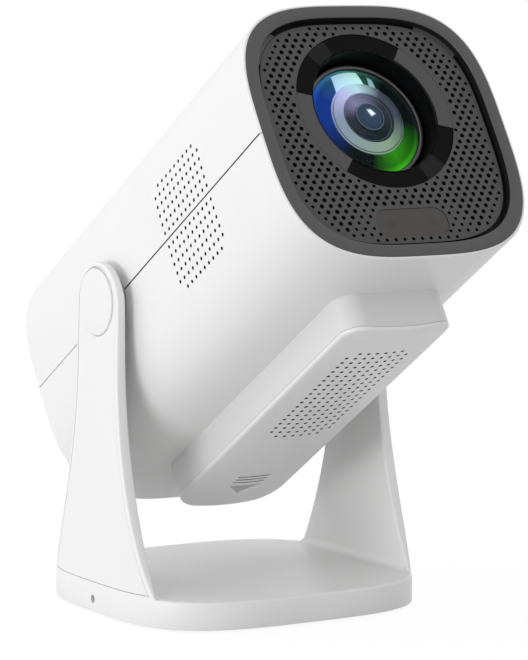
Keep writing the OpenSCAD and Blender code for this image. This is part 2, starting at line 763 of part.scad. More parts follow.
module condenser_lens() color([0.8, 0.9, 0.95, 0.5]) on_head() translate([0, 0, lens_up]) {
    edge = tube_half - slot_deep - seat;
    dome_r = 40;
    bar_a(0, 0, edge, tube_a + 15 + seat, tube_a + 19 - seat);
    intersection() {
        translate([0, -(tube_a + 19 - seat - sqrt(dome_r * dome_r - 22 * 22)), 0]) sphere(dome_r, $fn = 64);
        bar_a(0, 0, 22, tube_a + 18, tube_a + 60);
    }
}

module led_board() color("white") on_head() translate([0, 0, lens_up]) {
    block(-20, 20, led_a, led_a + led_t, -20, 20);
    block(-8, 8, led_a + led_t - eps, led_a + led_t + 1.5, -8, 8);
}

module led_heatsink() color("silver") on_head() translate([0, 0, lens_up]) {
    block(-29, 29, led_a - 5, led_a, -29, 29);
    fins = 15;
    for (i = [0 : fins - 1]) let (x = -29 + 0.6 + i * (58 - 1.2) / (fins - 1))
        block(x - 0.6, x + 0.6, sink_a, led_a - 5 + eps, -29, 29);
}

// Fan laid in its own frame: axis along z, base at 0
module fan_frame(size, t) {
    bore_r = size / 2 - 1.8;
    difference() {
        translate([-size / 2, -size / 2, 0]) cube([size, size, t]);
        translate([0, 0, -1]) cylinder(r = bore_r, h = t + 2);
        for (x = [-1, 1], y = [-1, 1]) translate([x * (size / 2 - 4.5), y * (size / 2 - 4.5), -1])
            cylinder(r = 1.7, h = t + 2, $fn = 24);
    }
    difference() {
        union() {
            cylinder(r = 11, h = 1.6);
            cylinder(r = 4, h = t - 4);
            for (i = [0 : 3]) rotate([0, 0, 45 + 90 * i]) translate([8, -1.25, 0])
                cube([bore_r - 7.4, 2.5, 1.6]);
        }
        translate([0, 0, -1]) cylinder(r = 1.5 + running, h = t);
    }
}

module fan_impeller(size, t) {
    bore_r = size / 2 - 1.8;
    difference() {
        translate([0, 0, 2.2]) cylinder(r = 12, h = t - 2.7);
        translate([0, 0, 1]) cylinder(r = 10, h = t - 3.2);
    }
    translate([0, 0, 0.5]) cylinder(r = 1.5, h = t - 1.5);
    intersection() {
        difference() {
            cylinder(r = bore_r - 0.7, h = 2 * t);
            translate([0, 0, -1]) cylinder(r = 11.5, h = 3 * t);
        }
        translate([-size, -size, 2.4]) cube([2 * size, 2 * size, t - 3]);
        for (i = [0 : 6]) rotate([0, 0, i * 360 / 7]) translate([bore_r / 2 + 5, 0, t / 2 + 0.6])
            rotate([38, 0, 0]) cube([bore_r, 1.1, 2 * t], center = true);
    }
}

module at_led_fan() on_head() translate([0, -led_fan_a, lens_up]) rotate([90, 0, 0]) children();
module led_fan_frame() color("black") at_led_fan() fan_frame(fan_size, fan_t);
module led_fan_impeller() color("dimgray") at_led_fan() fan_impeller(fan_size, fan_t);

module at_intake_fan() on_head() translate([0, -intake_a, intake_z]) children();
module intake_fan_frame() color("black") {
    at_intake_fan() fan_frame(fan_size, fan_t);
    on_head() difference() {
        block(-snout_w, snout_w, intake_a - 29, intake_a + 29,
            gap - outline_z(snout_w, inner_half), intake_z + eps);
        block(2 - snout_w, snout_w - 2, intake_a - 27, intake_a + 27, -half, intake_z + 1);
    }
}
module intake_fan_impeller() color("dimgray") at_intake_fan() fan_impeller(fan_size, fan_t);

// Lens and focus drive

module focus_housing() color([0.12, 0.12, 0.13]) on_head() translate([0, 0, lens_up]) {
    difference() {
        union() {
            block(-duct_half_w, duct_half_w, duct_front, duct_front + 2.5, -duct_half_h, duct_half_h);
            bar_a(0, 0, barrel_r + 3, duct_front, ring_a - gap);
            block(-9, 9, duct_front, duct_front + 5, -pinion_drop - 5, -24);
            for (x = [-1, 1], z = [-1, 1]) translate([x * clip_x, 0, z * clip_z]) {
                clip_end = ring_a + ring_face + gap;
                block(-1.5, 1.5, duct_front, clip_end + 1.5, -3, 3);
                block(x > 0 ? -5 : -1.5, x > 0 ? 1.5 : 5, clip_end, clip_end + 1.5, -3, 3);
            }
        }
        bar_a(0, 0, barrel_r + running, duct_front - 1, ring_a + 1);
        bar_a(0, 0, barrel_r + spline_h + gap, ring_a - focus_travel - 6, ring_a + 1);
    }
}

// Involute tooth outline, from the base circle to the tip
function inv_angle(rb, r) = let (a = acos(min(1, rb / r))) tan(a) * 180 / PI - a;
module spur(teeth, bore, t, thin) {
    rp = teeth * gear_mod / 2;
    rb = rp * cos(20);
    ra = rp + 0.9 * gear_mod;
    rr = rp - 1.15 * gear_mod;
    half_tooth = 90 / teeth - thin / 2 / rp * 180 / PI + inv_angle(rb, rp);
    rs = [for (i = [0 : 4]) max(rb, rr) + (ra - max(rb, rr)) * i / 4];
    linear_extrude(t) difference() {
        polygon([for (k = [0 : teeth - 1]) let (m = 360 * k / teeth)
            each concat(
                [rr * [cos(m - half_tooth), sin(m - half_tooth)]],
                [for (r = rs) let (q = m - half_tooth + inv_angle(rb, r))
                    r * [cos(q), sin(q)]],
                [for (i = [4 : -1 : 0]) let (r = rs[i], q = m + half_tooth - inv_angle(rb, r))
                    r * [cos(q), sin(q)]],
                [rr * [cos(m + half_tooth), sin(m + half_tooth)]])]);
        circle(bore, $fn = 96);
    }
}

// Gear that turns around the lens barrel and drives its splines
module focus_ring() color("ivory") on_head()
    translate([0, -ring_a, lens_up]) rotate([90, 0, 0]) difference() {
    rotate([0, 0, -90]) spur(ring_teeth, barrel_r + running, ring_face, backlash);
    for (i = [0 : 2]) rotate([0, 0, 30 + 120 * i]) translate([barrel_r - 1, -spline_w / 2 - seat, -1])
        cube([1 + spline_h + 2 * seat, spline_w + 2 * seat, ring_face + 2]);
}

module focus_pinion() color("ivory") on_head()
    translate([0, -ring_a - 0.5, lens_up - pinion_drop]) rotate([90, 0, 0]) {
        rotate([0, 0, 90 + 180 / pinion_teeth]) spur(pinion_teeth, 0.9, ring_face - 1, backlash);
        translate([0, 0, -5]) cylinder(r = 1, h = ring_face + 4);
    }

module focus_motor() color("silver") on_head() translate([0, 0, lens_up - pinion_drop]) difference() {
    union() {
        bar_a(0, 0, motor_r, ring_a - 1.5 - motor_len, ring_a - 1.5);
        block(-8, 8, duct_front + 5, duct_front + 6, -4.9, 4.9);
    }
    bar_a(0, 0, 1 + running, ring_a - 6, ring_a + 2);
}

module lens_barrel() color([0.1, 0.1, 0.1]) on_head() translate([0, 0, lens_up]) {
    difference() {
        bar_a(0, 0, barrel_r, barrel_rear, barrel_front - 1.5);
        bar_a(0, 0, barrel_bore, barrel_rear - 1, barrel_front + 1);
        bar_a(0, 0, glass_r + running, barrel_front - 1.5 - lens_seat_t, barrel_front + 1);
    }
    translate([0, focus_travel - ring_a, 0]) rotate([90, 0, 0])
        for (i = [0 : 2]) rotate([0, 0, 30 + 120 * i]) translate([barrel_r - 0.4, -spline_w / 2, 0])
            cube([0.4 + spline_h, spline_w, ring_face + 2 * focus_travel]);
}

module lens_ring() color([0.35, 0.35, 0.36]) on_head() translate([0, 0, lens_up]) difference() {
    bar_a(0, 0, barrel_r - 0.1, barrel_front - 1.5, barrel_front);
    bar_a(0, 0, glass_r - 0.5, barrel_front - 5, barrel_front + 5);
}

// Sphere radius of a dome of height h on a circle of radius r
function dome(r, h) = (r * r + h * h) / (2 * h);

module front_lens() color([0.3, 0.4, 0.8, 0.6]) on_head() translate([0, 0, lens_up]) {
    base_a = barrel_front - 1.5;
    dr = dome(glass_r - 0.7, glass_sag);
    bar_a(0, 0, glass_r, base_a - lens_seat_t + 0.2, base_a - seat);
    intersection() {
        translate([0, -(base_a - 0.4 + glass_sag - dr), 0]) sphere(dr, $fn = 96);
        bar_a(0, 0, glass_r - 0.7, base_a - 0.5, base_a + 20);
    }
}

module inner_cell() color([0.75, 0.74, 0.68]) on_head() translate([0, 0, lens_up]) {
    difference() {
        bar_a(0, 0, barrel_bore - seat, barrel_front - 17, barrel_front - 12);
        bar_a(0, 0, 10.9, barrel_front - 30, barrel_front);
    }
    difference() {
        bar_a(0, 0, barrel_bore - seat, barrel_front - 24, barrel_front - 17);
        bar_a(0, 0, 13, barrel_front - 30, barrel_front);
    }
    bar_a(0, 0, 13.2, barrel_front - 22, barrel_front - 17.2);
}

module rear_lens() color([0.8, 0.9, 0.95, 0.6]) on_head() translate([0, 0, lens_up])
    bar_a(0, 0, barrel_bore - seat, barrel_rear + 2, barrel_rear + 9);

module right_speaker() on_head() {
    a = front_a - vent_back;
    difference() {
        union() {
            translate([inner_half - 2.6, -a, 0]) rotate([0, 90, 0]) linear_extrude(1.6) rounded(40, 40, 5);
            bar_x(a, 0, 18, inner_half - 6, inner_half - 2.5);
            bar_x(a, 0, 11, inner_half - 10.5, inner_half - 5.9);
        }
        bar_x(a, 0, 16.5, inner_half - 5, inner_half + 2);
    }
    bar_x(a, 0, 8, inner_half - 5.1, inner_half - 2.6);
}
module speaker_right() color("dimgray") right_speaker();
module speaker_left() color("dimgray") mirror([1, 0, 0]) right_speaker();

// Bottom housing, in plan x and y with y pointing backwards

module housing_plan(inset) translate([0, -(housing_front + housing_rear) / 2]) {
    w = housing_w - 2 * inset;
    l = housing_len - 2 * inset;
    rf = housing_r_front - inset;
    rr = housing_r_rear - inset;
    square([w - 2 * rr, l], center = true);
    square([w, l - 2 * rr], center = true);
    for (x = [-1, 1]) {
        translate([x * (w / 2 - rf), rf - l / 2]) circle(rf, $fn = 64);
        translate([x * (w / 2 - rr), l / 2 - rr]) circle(rr, $fn = 64);
    }
}

// Space above the crowned lower face, thinned by t
module crown(t)
    translate([0, -(housing_rear - 20), crown_z]) rotate([90, 0, 0])
        cylinder(r = crown_r - t, h = housing_len + 40, $fn = 360);

// Inner edge of the housing's ledge, which the cover's rails hook over
ledge_w = 2.2;
ledge_t = 1.4;

module bottom_housing() color("white") on_head() difference() {
    intersection() {
        translate([0, 0, -half - housing_drop - 5]) linear_extrude(housing_drop + 12) housing_plan(0);
        crown(cover_t);
    }
    along(rear_a - 5, front_a + 5) body_outline(half);
    intersection() {
        translate([0, 0, -half - housing_drop - 6]) linear_extrude(housing_drop + 20)
            housing_plan(housing_wall);
        union() {
            crown(cover_t + ledge_t);
            translate([0, 0, -half - housing_drop - 6]) linear_extrude(housing_drop + 20)
                housing_plan(housing_wall + ledge_w);
        }
    }
}

// Layer between two depths above the crowned lower face
module crown_layer(t0, t1) difference() {
    crown(t0);
    crown(t1);
}

module filter_cover() color("white") on_head() difference() {
    union() {
        intersection() {
            translate([0, 0, -half - housing_drop - 5]) linear_extrude(housing_drop) housing_plan(0);
            crown_layer(0, cover_t - gap);
        }
        for (s = [0, 1]) mirror([s, 0, 0]) {
            rail_x = housing_w / 2 - housing_wall - ledge_w - gap;
            rail_rear = housing_rear + 34;
            rail_front = housing_front - 16;
            rail_low = -half - housing_drop - 1;
            intersection() {
                block(rail_x - 1.2, rail_x, rail_rear, rail_front, rail_low, rail_low + 12);
                crown_layer(cover_t - gap - 0.1, cover_t + ledge_t + gap + 1.2);
            }
            intersection() {
                block(rail_x - 1.2, rail_x + ledge_w, rail_rear, rail_front, rail_low, rail_low + 12);
                crown_layer(cover_t + ledge_t + gap, cover_t + ledge_t + gap + 1.2);
            }
        }
    }
    for (r = [0 : cover_rows - 1], c = [0 : cover_cols - 1])
        if (!((c == 0 || c == cover_cols - 1) && (r == 0 || r == cover_rows - 1)))
            translate([(c - (cover_cols - 1) / 2) * vent_pitch,
                -(cover_mid + (r - (cover_rows - 1) / 2) * vent_pitch), -half - housing_drop - 5])
                cylinder(r = vent_hole / 2, h = 12, $fn = 14);
}

// Foam pad that lies on the inside of the cover
module dust_filter() color("dimgray") on_head() intersection() {
    block(-filter_w / 2, filter_w / 2, cover_mid - filter_len / 2, cover_mid + filter_len / 2,
        -half - housing_drop, -half - 1);
    crown_layer(cover_t - gap + 0.05, cover_t - gap + filter_t);
}

stand_yoke();
arm_cover_left();
arm_cover_right();
pivot_cap_left();
pivot_cap_right();
pivot_bushes();
base_plate();
base_ballast();
base_pad();
base_screws();
ballast_grub_screws();
upper_shell();
lower_shell();
pivot_hubs();
pivot_screws();
friction_washers();
front_frame();
front_grille();
lens_collar();
collar_inlays();
lens_hood();
af_window();
af_sensor_board();
rear_panel();
rear_screws();
hdmi_socket();
usb_socket();
audio_jack();
dc_inlet();
ir_window();
power_button();
button_switch();
main_board();
driver_board();
light_engine();
led_board();
led_heatsink();
led_fan_frame();
led_fan_impeller();
condenser_lens();
heat_filter();
fresnel_rear();
lcd_panel();
fresnel_front();
focus_housing();
focus_ring();
focus_motor();
focus_pinion();
lens_barrel();
lens_ring();
front_lens();
inner_cell();
rear_lens();
speaker_left();
speaker_right();
intake_fan_frame();
intake_fan_impeller();
bottom_housing();
filter_cover();
dust_filter();
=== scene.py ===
import math

import bmesh
import bpy
import numpy as np
from mathutils import Matrix, Vector


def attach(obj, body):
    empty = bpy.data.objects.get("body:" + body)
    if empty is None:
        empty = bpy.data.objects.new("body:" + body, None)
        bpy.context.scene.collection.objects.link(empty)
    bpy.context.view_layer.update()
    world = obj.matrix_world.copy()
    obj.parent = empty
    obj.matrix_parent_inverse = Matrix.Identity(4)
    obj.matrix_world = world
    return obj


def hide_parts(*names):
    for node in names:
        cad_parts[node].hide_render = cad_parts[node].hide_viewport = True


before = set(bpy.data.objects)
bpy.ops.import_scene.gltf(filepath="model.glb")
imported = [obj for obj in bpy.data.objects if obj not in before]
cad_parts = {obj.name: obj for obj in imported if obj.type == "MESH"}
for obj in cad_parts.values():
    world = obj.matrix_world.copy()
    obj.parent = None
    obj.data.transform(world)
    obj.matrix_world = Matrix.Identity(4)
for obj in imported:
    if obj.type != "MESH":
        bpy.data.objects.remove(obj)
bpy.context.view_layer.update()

# Sizes in millimetres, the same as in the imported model. In the head's own frame x points right,
# a forward along the body and z up, from the middle of the pivot.
TILT = math.radians(32.3)
PIVOT_H = 126.0

# Body: half width, power of its rounded-square outline, wall, ends, edge radius, half gap of the seam
HALF = 55.0
BODY_N = 3.4
WALL = 2.2
FRONT = 135.2
REAR = -79.8
BODY_EDGE = 0.8
SEAM = 0.11
SEAM_EDGE = 0.32
SEAM_CHAMFER = 0.22
HUB_HOLE_R = 10.3

# Round holes of the side vents and the filter cover
VENT_PITCH = 3.84
VENT_R = 0.75
VENT_BACK = 64.4

# Front frame and the shelf round the grille, given as insets from the body's surface
GRILLE = FRONT - 2.4
FRAME_OUT = 1.0
FRAME_IN = 6.0
SHELF_IN = 10.2
FRAME_BACK = FRONT - 6.0
SHELF = GRILLE - 1.6
LIP = FRONT + 0.3
LUG_OUT = 49.3
LUG_IN = 47.55
LUG_BACK = GRILLE - 1.7

# Lens: height of its axis above the pivot, front and seat of its rim, front glass
LENS_UP = 9.5
LENS_FRONT = FRONT - 10.5
SEAT = LENS_FRONT - 1.5
RIM_R = 23.2
GLASS_R = 22.9
SAG = 6.0
DOME_R = (GLASS_R ** 2 + SAG ** 2) / (2 * SAG)
DOME_MID = SEAT + 0.6 + SAG - DOME_R

# Base of the stand
BASE_HX = 65.5
BASE_HY = 63.5
BASE_N = 3.4
BASE_T = 12.0
BASE_EDGE = 1.2
BASE_WALL = 2.6
BASE_LIFT = 0.8
BASE_CEILING = 9.8
GRUB_UP = 6.0
GRUB_HOLE_R = 1.7

# Arms of the stand, with the recess for their cover panels and the caps over the pivot
ARM_IN = 59.1
LEAN = math.radians(1.3)
ARM_HALF = 17.2
FLARE_R = 188.0
FLARE_TOP = 105.0
HEAD_Z = 124.8
ARM_FOOT = 10.9
ARM_EDGE = 0.8
RECESS_IN = 1.7
RECESS_FOOT = 13.0
PANEL_GAP = 0.24
BUSH_HOLE_R = 8.15
CAP_R = 13.5
CAP_HOLE_R = 13.7
CAP_IN = 61.25
CAP_OUT = 63.8

# Housing under the body, with its cover
HOUSE_FRONT = 107.7
HOUSE_LEN = 161.0
HOUSE_HW = 24.2
DROP = 16.0
CROWN_R = 128.0
HOLES_BACK = 56.5

MM = Matrix.Scale(0.001, 4)
STAND = MM
HEAD = MM @ Matrix.Translation((0, 0, PIVOT_H)) @ Matrix.Rotation(-TILT, 4, "X")
LENS = HEAD @ Matrix.Translation((0, 0, LENS_UP))


# Materials

class Nodes:
    """Small helper around a node tree."""

    def __init__(self, tree):
        self.tree = tree
        tree.nodes.clear()

    def add(self, kind, **values):
        """New node. A value goes to the node's setting or socket of that name."""
        node = self.tree.nodes.new(kind)
        for key, value in values.items():
            if hasattr(node, key):
                setattr(node, key, value)
            else:
                node.inputs[key.replace("_", " ")].default_value = value
        return node

    def link(self, a, a_socket, b, b_socket):
        self.tree.links.new(a.outputs[a_socket], b.inputs[b_socket])

    def math(self, op, a, b=None, c=None, clamp=False):
        m = self.add("ShaderNodeMath")
        m.operation = op
        m.use_clamp = clamp
        for i, v in enumerate((a, b, c)):
            if v is None:
                continue
            if isinstance(v, (int, float)):
                m.inputs[i].default_value = v
            else:
                self.tree.links.new(v, m.inputs[i])
        return m.outputs[0]

    def looked_at(self):
        """1 for rays from the camera, off gloss or through glass, and 0 for the rays that light the scene."""
        path = self.add("ShaderNodeLightPath")
        seen = self.math("MAXIMUM", path.outputs["Is Camera Ray"], path.outputs["Is Glossy Ray"])
        return self.math("MAXIMUM", seen, path.outputs["Is Transmission Ray"])


class Graph(Nodes):
    """Node tree of a material with one principled shader."""

    def __init__(self, name):
        self.mat = bpy.data.materials.new(name)
        self.mat.use_nodes = True
        super().__init__(self.mat.node_tree)
        self.out = self.add("ShaderNodeOutputMaterial")
        self.bsdf = self.add("ShaderNodeBsdfPrincipled")
        self.link(self.bsdf, "BSDF", self.out, "Surface")

    def coords(self):
        return self.add("ShaderNodeTexCoord")

    def noise(self, scale, detail=3.0, rough=0.5, source=None):
        n = self.add("ShaderNodeTexNoise", Scale=scale, Detail=detail, Roughness=rough)
        if source is None:
            self.link(self.coords(), "Object", n, "Vector")
        else:
            self.tree.links.new(source, n.inputs["Vector"])
        return n

    def ramp(self, source, stops):
        r = self.add("ShaderNodeValToRGB")
        elements = r.color_ramp.elements
        while len(elements) > 1:
            elements.remove(elements[-1])
        elements[0].position, elements[0].color = stops[0][0], (*stops[0][1], 1)
        for pos, col in stops[1:]:
            elements.new(pos).color = (*col, 1)
        self.tree.links.new(source, r.inputs["Fac"])
        return r.outputs["Color"]

    def mix(self, fac, a, b, kind="MIX"):
        m = self.add("ShaderNodeMix")
        m.data_type = "RGBA"
        m.blend_type = kind
        for socket, v in ((m.inputs[0], fac), (m.inputs[6], a), (m.inputs[7], b)):
            if isinstance(v, (int, float)):
                socket.default_value = v
            elif isinstance(v, tuple):
                socket.default_value = (*v, 1)
            else:
                self.tree.links.new(v, socket)
        return m.outputs[2]

    def to(self, source, socket):
        self.tree.links.new(source, self.bsdf.inputs[socket])

    def bump(self, source, strength, distance):
        b = self.add("ShaderNodeBump", Strength=strength, Distance=distance)
        self.tree.links.new(source, b.inputs["Height"])
        self.link(b, "Normal", self.bsdf, "Normal")

    def set(self, **values):
        for key, value in values.items():
            self.bsdf.inputs[key.replace("_", " ")].default_value = value

    def distance(self, u, v):
        return self.math("SQRT", self.math("ADD", self.math("MULTIPLY", u, u), self.math("MULTIPLY", v, v)))


def shade(color, k):
    return tuple(min(1.0, max(0.0, c * k)) for c in color)


def moulded(name, color, rough=0.4, grain=2600.0, depth=0.00001, spread=0.03, **extra):
    """Moulded plastic: fine spark-eroded grain, slow colour drift and uneven gloss."""
    g = Graph(name)
    drift = g.noise(28.0, 2.0)
    speck = g.noise(900.0, 2.0)
    mixed = g.math("ADD", g.math("MULTIPLY", drift.outputs["Fac"], 0.7),
                   g.math("MULTIPLY", speck.outputs["Fac"], 0.3))
    g.to(g.ramp(mixed, [(0.3, shade(color, 1 - spread)), (0.7, shade(color, 1 + spread))]), "Base Color")
    fine = g.noise(grain, 3.0, 0.6)
    r = g.math("MULTIPLY_ADD", fine.outputs["Fac"], 0.12, rough - 0.06)
    g.to(g.math("MULTIPLY_ADD", drift.outputs["Fac"], 0.06, g.math("SUBTRACT", r, 0.03)), "Roughness")
    g.bump(fine.outputs["Fac"], 0.35, depth)
    g.set(**extra)
    return g.mat


def metal(name, color, rough=0.3, grain=500.0, stretch=(1, 1, 1), depth=0.000006, **extra):
    """Machined or plated metal: brushed streaks along one axis and slight tarnish."""
    g = Graph(name)
    m = g.add("ShaderNodeMapping", Scale=stretch)
    g.link(g.coords(), "Object", m, "Vector")
    streak = g.noise(grain, 4.0, 0.6, m.outputs["Vector"])
    cloud = g.noise(60.0, 2.0)
    tarnish = [(0.3, shade(color, 0.93)), (0.7, shade(color, 1.04))]
    g.to(g.ramp(cloud.outputs["Fac"], tarnish), "Base Color")
    g.to(g.math("MULTIPLY_ADD", streak.outputs["Fac"], 0.2, rough - 0.1), "Roughness")
    g.bump(streak.outputs["Fac"], 0.4, depth)
    g.set(Metallic=1.0, **extra)
    return g.mat


def head_coords(g, centre_up):
    """Millimetres across and up the tilted head, from a centre that lies so far above the pivot."""
    inverse = (Matrix.Translation((0, 0, PIVOT_H * 0.001)) @ Matrix.Rotation(-TILT, 4, "X")).inverted()
    m = g.add("ShaderNodeMapping", vector_type="POINT", Rotation=inverse.to_euler(),
              Location=inverse.translation - Vector((0, 0, centre_up * 0.001)))
    g.link(g.coords(), "Object", m, "Vector")
    s = g.add("ShaderNodeSeparateXYZ")
    g.link(m, "Vector", s, "Vector")
    return g.math("MULTIPLY", s.outputs["X"], 1000.0), g.math("MULTIPLY", s.outputs["Z"], 1000.0)


def lens_coords(g):
    """Radius and turn (0 to 1) about the lens axis, and the millimetres across and up from it."""
    u, v = head_coords(g, LENS_UP)
    turn = g.math("MULTIPLY_ADD", g.math("ARCTAN2", v, u), 0.5 / math.pi, 0.5)
    return g.distance(u, v), turn, u, v


SHELL_WHITE = (0.80, 0.80, 0.797)
POLISH = {"grain": 2400.0, "depth": 0.000006, "spread": 0.008}
white = moulded("white_shell", SHELL_WHITE, rough=0.34, Specular_IOR_Level=0.5, **POLISH)
white_stand = moulded("white_stand", SHELL_WHITE, rough=0.38, **POLISH)
# The housing's white is set darker than the shell's as painted shade, for the shade under the body.
housing_painted_shade = moulded("housing_painted_shade", (0.70, 0.70, 0.698), rough=0.36, **POLISH)
rear_grey = moulded("rear_white", (0.66, 0.66, 0.66), rough=0.42, spread=0.012)
graphite = moulded("graphite_frame", (0.071, 0.070, 0.071), rough=0.46, grain=3000.0, spread=0.04)
grille_mat = moulded("graphite_grille", (0.051, 0.051, 0.051), rough=0.5, grain=3400.0, depth=0.000014,
                     spread=0.05)
black_soft = moulded("black_soft", (0.0045, 0.0045, 0.0047), rough=0.4, spread=0.1, Specular_IOR_Level=0.04)
black_matt = moulded("black_matt", (0.010, 0.010, 0.011), rough=0.55, spread=0.12)
hood_black = moulded("hood_black", (0.005, 0.0055, 0.006), rough=0.35, spread=0.12, Specular_IOR_Level=0.12)
# Near black that paints shade on the frame's inner wall and the shelf round the grille.
frame_wall_painted_shade = moulded("frame_wall_painted_shade", (0.013, 0.013, 0.013), rough=0.4, spread=0.1, Specular_IOR_Level=0.1)
# Near black that paints shade on the walls of the grille's holes and on its back.
grille_hole_painted_shade = moulded("grille_hole_painted_shade", (0.004, 0.004, 0.004), rough=0.6, spread=0.1, Specular_IOR_Level=0.05)
# Lighter black that paints a reflection on one band of each collar arc.
arc_painted_reflection = moulded("black_arc_painted_reflection", (0.011, 0.011, 0.0112), rough=0.35, spread=0.08, Specular_IOR_Level=0.1)
dark_plastic = moulded("dark_plastic", (0.03, 0.03, 0.031), rough=0.5, spread=0.08)
rubber = moulded("foot_rubber", (0.016, 0.016, 0.017), rough=0.75, grain=1500.0, depth=0.00002, spread=0.12)
acetal = moulded("acetal", (0.72, 0.71, 0.66), rough=0.36, spread=0.02)
fibre = moulded("washer_fibre", (0.06, 0.045, 0.036), rough=0.8, grain=900.0, depth=0.00003, spread=0.2)
cast = moulded("cast_iron", (0.10, 0.10, 0.105), rough=0.7, grain=700.0, depth=0.00006, spread=0.2)
# Dark grey that paints shade on the walls of vents, holes and the seam, and on the insides behind them.
inside_painted_shade = moulded("inside_painted_shade", (0.03, 0.03, 0.03), rough=0.6, spread=0.06)
# Dark grey that paints shade into the pressed bars and onto the walls of the arrow.
arrow_bars_painted_shade = moulded("arrow_bars_painted_shade_grey", (0.07, 0.07, 0.07), rough=0.5, spread=0.04)
arrow_grey = moulded("arrow_grey", (0.48, 0.48, 0.48), rough=0.45, spread=0.03)
led_white = moulded("led_board_white", (0.78, 0.78, 0.76), rough=0.4, spread=0.02)
steel = metal("plated_steel", (0.55, 0.55, 0.56), rough=0.32)
steel_dark = metal("dark_steel", (0.12, 0.12, 0.125), rough=0.4)
alu = metal("machined_aluminium", (0.68, 0.68, 0.69), rough=0.34, grain=400.0, stretch=(1, 12, 12))
heatsink = metal("heatsink_aluminium", (0.62, 0.62, 0.63), rough=0.42, grain=300.0, stretch=(1, 20, 20))
rim_metal = metal("anodised_rim", (0.15, 0.15, 0.154), rough=0.5, grain=900.0)


def board_material():
    """Green solder mask with a hint of tracks under it."""
    g = Graph("circuit_board")
    b = g.add("ShaderNodeTexBrick", Scale=140.0, Mortar_Size=0.03, Color1=(0.010, 0.075, 0.030, 1),
              Color2=(0.012, 0.095, 0.036, 1), Mortar=(0.03, 0.17, 0.07, 1))
    g.link(g.coords(), "Object", b, "Vector")
    g.to(b.outputs["Color"], "Base Color")
    g.to(g.math("MULTIPLY_ADD", g.noise(500.0).outputs["Fac"], 0.2, 0.3), "Roughness")
    g.bump(b.outputs["Fac"], 0.3, 0.00003)
    return g.mat


def foam_material():
    """Open-cell foam: dark pores of half a millimetre."""
    g = Graph("open_foam")
    v = g.add("ShaderNodeTexVoronoi", Scale=1500.0)
    g.link(g.coords(), "Object", v, "Vector")
    pores = [(0.05, (0.004, 0.004, 0.004)), (0.6, (0.05, 0.05, 0.052))]
    g.to(g.ramp(v.outputs["Distance"], pores), "Base Color")
    g.bump(v.outputs["Distance"], 0.8, 0.0003)
    g.set(Roughness=0.9)
    return g.mat


def glass_material(name, tint, rough=0.02):
    """Polished optic with a faint colour drift across it."""
    g = Graph(name)
    n = g.noise(40.0, 2.0)
    g.to(g.ramp(n.outputs["Fac"], [(0.3, shade(tint, 0.97)), (0.7, tint)]), "Base Color")
    g.to(g.math("MULTIPLY_ADD", n.outputs["Fac"], 0.02, rough), "Roughness")
    g.set(Transmission_Weight=1.0, IOR=1.5)
    return g.mat


def window_material():
    """Tinted autofocus window: two darker round sensors show faintly behind the gloss."""
    g = Graph("window_maroon")
    window_up, sensor_x, sensor_r, soft_r, far_r = -38.7, 9.5, 2.1, 2.8, 5.0
    tint = (0.042, 0.033, 0.033)
    x, v = head_coords(g, window_up)
    u = g.math("SUBTRACT", g.math("ABSOLUTE", x), sensor_x)
    sensors = [(0.0, (0.034, 0.024, 0.025)), (sensor_r / far_r, (0.036, 0.026, 0.027)),
               (soft_r / far_r, tint), (1.0, tint)]
    sensor = g.ramp(g.math("MULTIPLY", g.distance(u, v), 1 / far_r), sensors)
    n = g.noise(60.0, 2.0)
    cloud = g.math("MULTIPLY", n.outputs["Fac"], 0.3)
    g.to(g.mix(cloud, sensor, (0.048, 0.038, 0.038)), "Base Color")
    g.to(g.math("MULTIPLY_ADD", n.outputs["Fac"], 0.05, 0.2), "Roughness")
    g.bump(g.noise(1800.0).outputs["Fac"], 0.1, 0.000003)
    return g.mat


board = board_material()
foam = foam_material()
optic = glass_material("optic_glass", (0.93, 0.97, 0.98))
panel_glass = glass_material("panel_glass", (0.35, 0.37, 0.42), rough=0.08)
window_mat = window_material()


# Mesh helpers

def build(name, verts, faces, space, mats, body, slot=None, replaces=(), angle=32.0):
    """Makes a piece from points in millimetres and lets it ride on a body of the model."""
    me = bpy.data.meshes.new(name)
    v = np.asarray(verts, float).reshape(-1, 3)
    m = np.array(space, float)
    v = v @ m[:3, :3].T + m[:3, 3]
    me.from_pydata(v.tolist(), [], [list(f) for f in faces])
    me.validate()
    bm = bmesh.new()
    bm.from_mesh(me)
    bmesh.ops.remove_doubles(bm, verts=bm.verts, dist=1e-7)
    bmesh.ops.dissolve_degenerate(bm, dist=1e-8, edges=bm.edges)
    bmesh.ops.recalc_face_normals(bm, faces=bm.faces)
    bm.to_mesh(me)
    bm.free()
    o = bpy.data.objects.new(name, me)
    bpy.context.scene.collection.objects.link(o)
    for mat in (mats if isinstance(mats, (list, tuple)) else [mats]):
        me.materials.append(mat)
    soften(o, angle)
    if body:
        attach(o, body)
        if replaces:
            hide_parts(*replaces)
    return o


def soften(o, angle=30.0):
    """Smooth shading, with edges sharper than so many degrees kept sharp."""
    o.data.shade_smooth()
    o.data.set_sharp_from_angle(angle=math.radians(angle))


def quarter(steps):
    """Angles of a quarter turn in equal steps."""
    return [math.pi / 2 * k / steps for k in range(steps + 1)]


def circle(r, count):
    turns = [2 * math.pi * i / count for i in range(count)]
    return [(r * math.cos(t), r * math.sin(t)) for t in turns]


def superellipse(n, count=288):
    """Closed outline of half width 1 with even steps along its length, starting at +X and running to +Y."""
    t = np.linspace(0, 2 * math.pi, 8001)
    c, s = np.cos(t), np.sin(t)
    p = np.stack([np.sign(c) * np.abs(c) ** (2 / n), np.sign(s) * np.abs(s) ** (2 / n)], 1)
    length = np.concatenate([[0], np.cumsum(np.linalg.norm(np.diff(p, axis=0), axis=1))])
    where = np.linspace(0, length[-1], count + 1)[:-1]
    return np.stack([np.interp(where, length, p[:, k]) for k in (0, 1)], 1)


UNIT = superellipse(BODY_N)


def reach(x, z):
    """Half width of the body-shaped outline that passes through a point."""
    return (abs(x) ** BODY_N + abs(z) ** BODY_N) ** (1 / BODY_N)


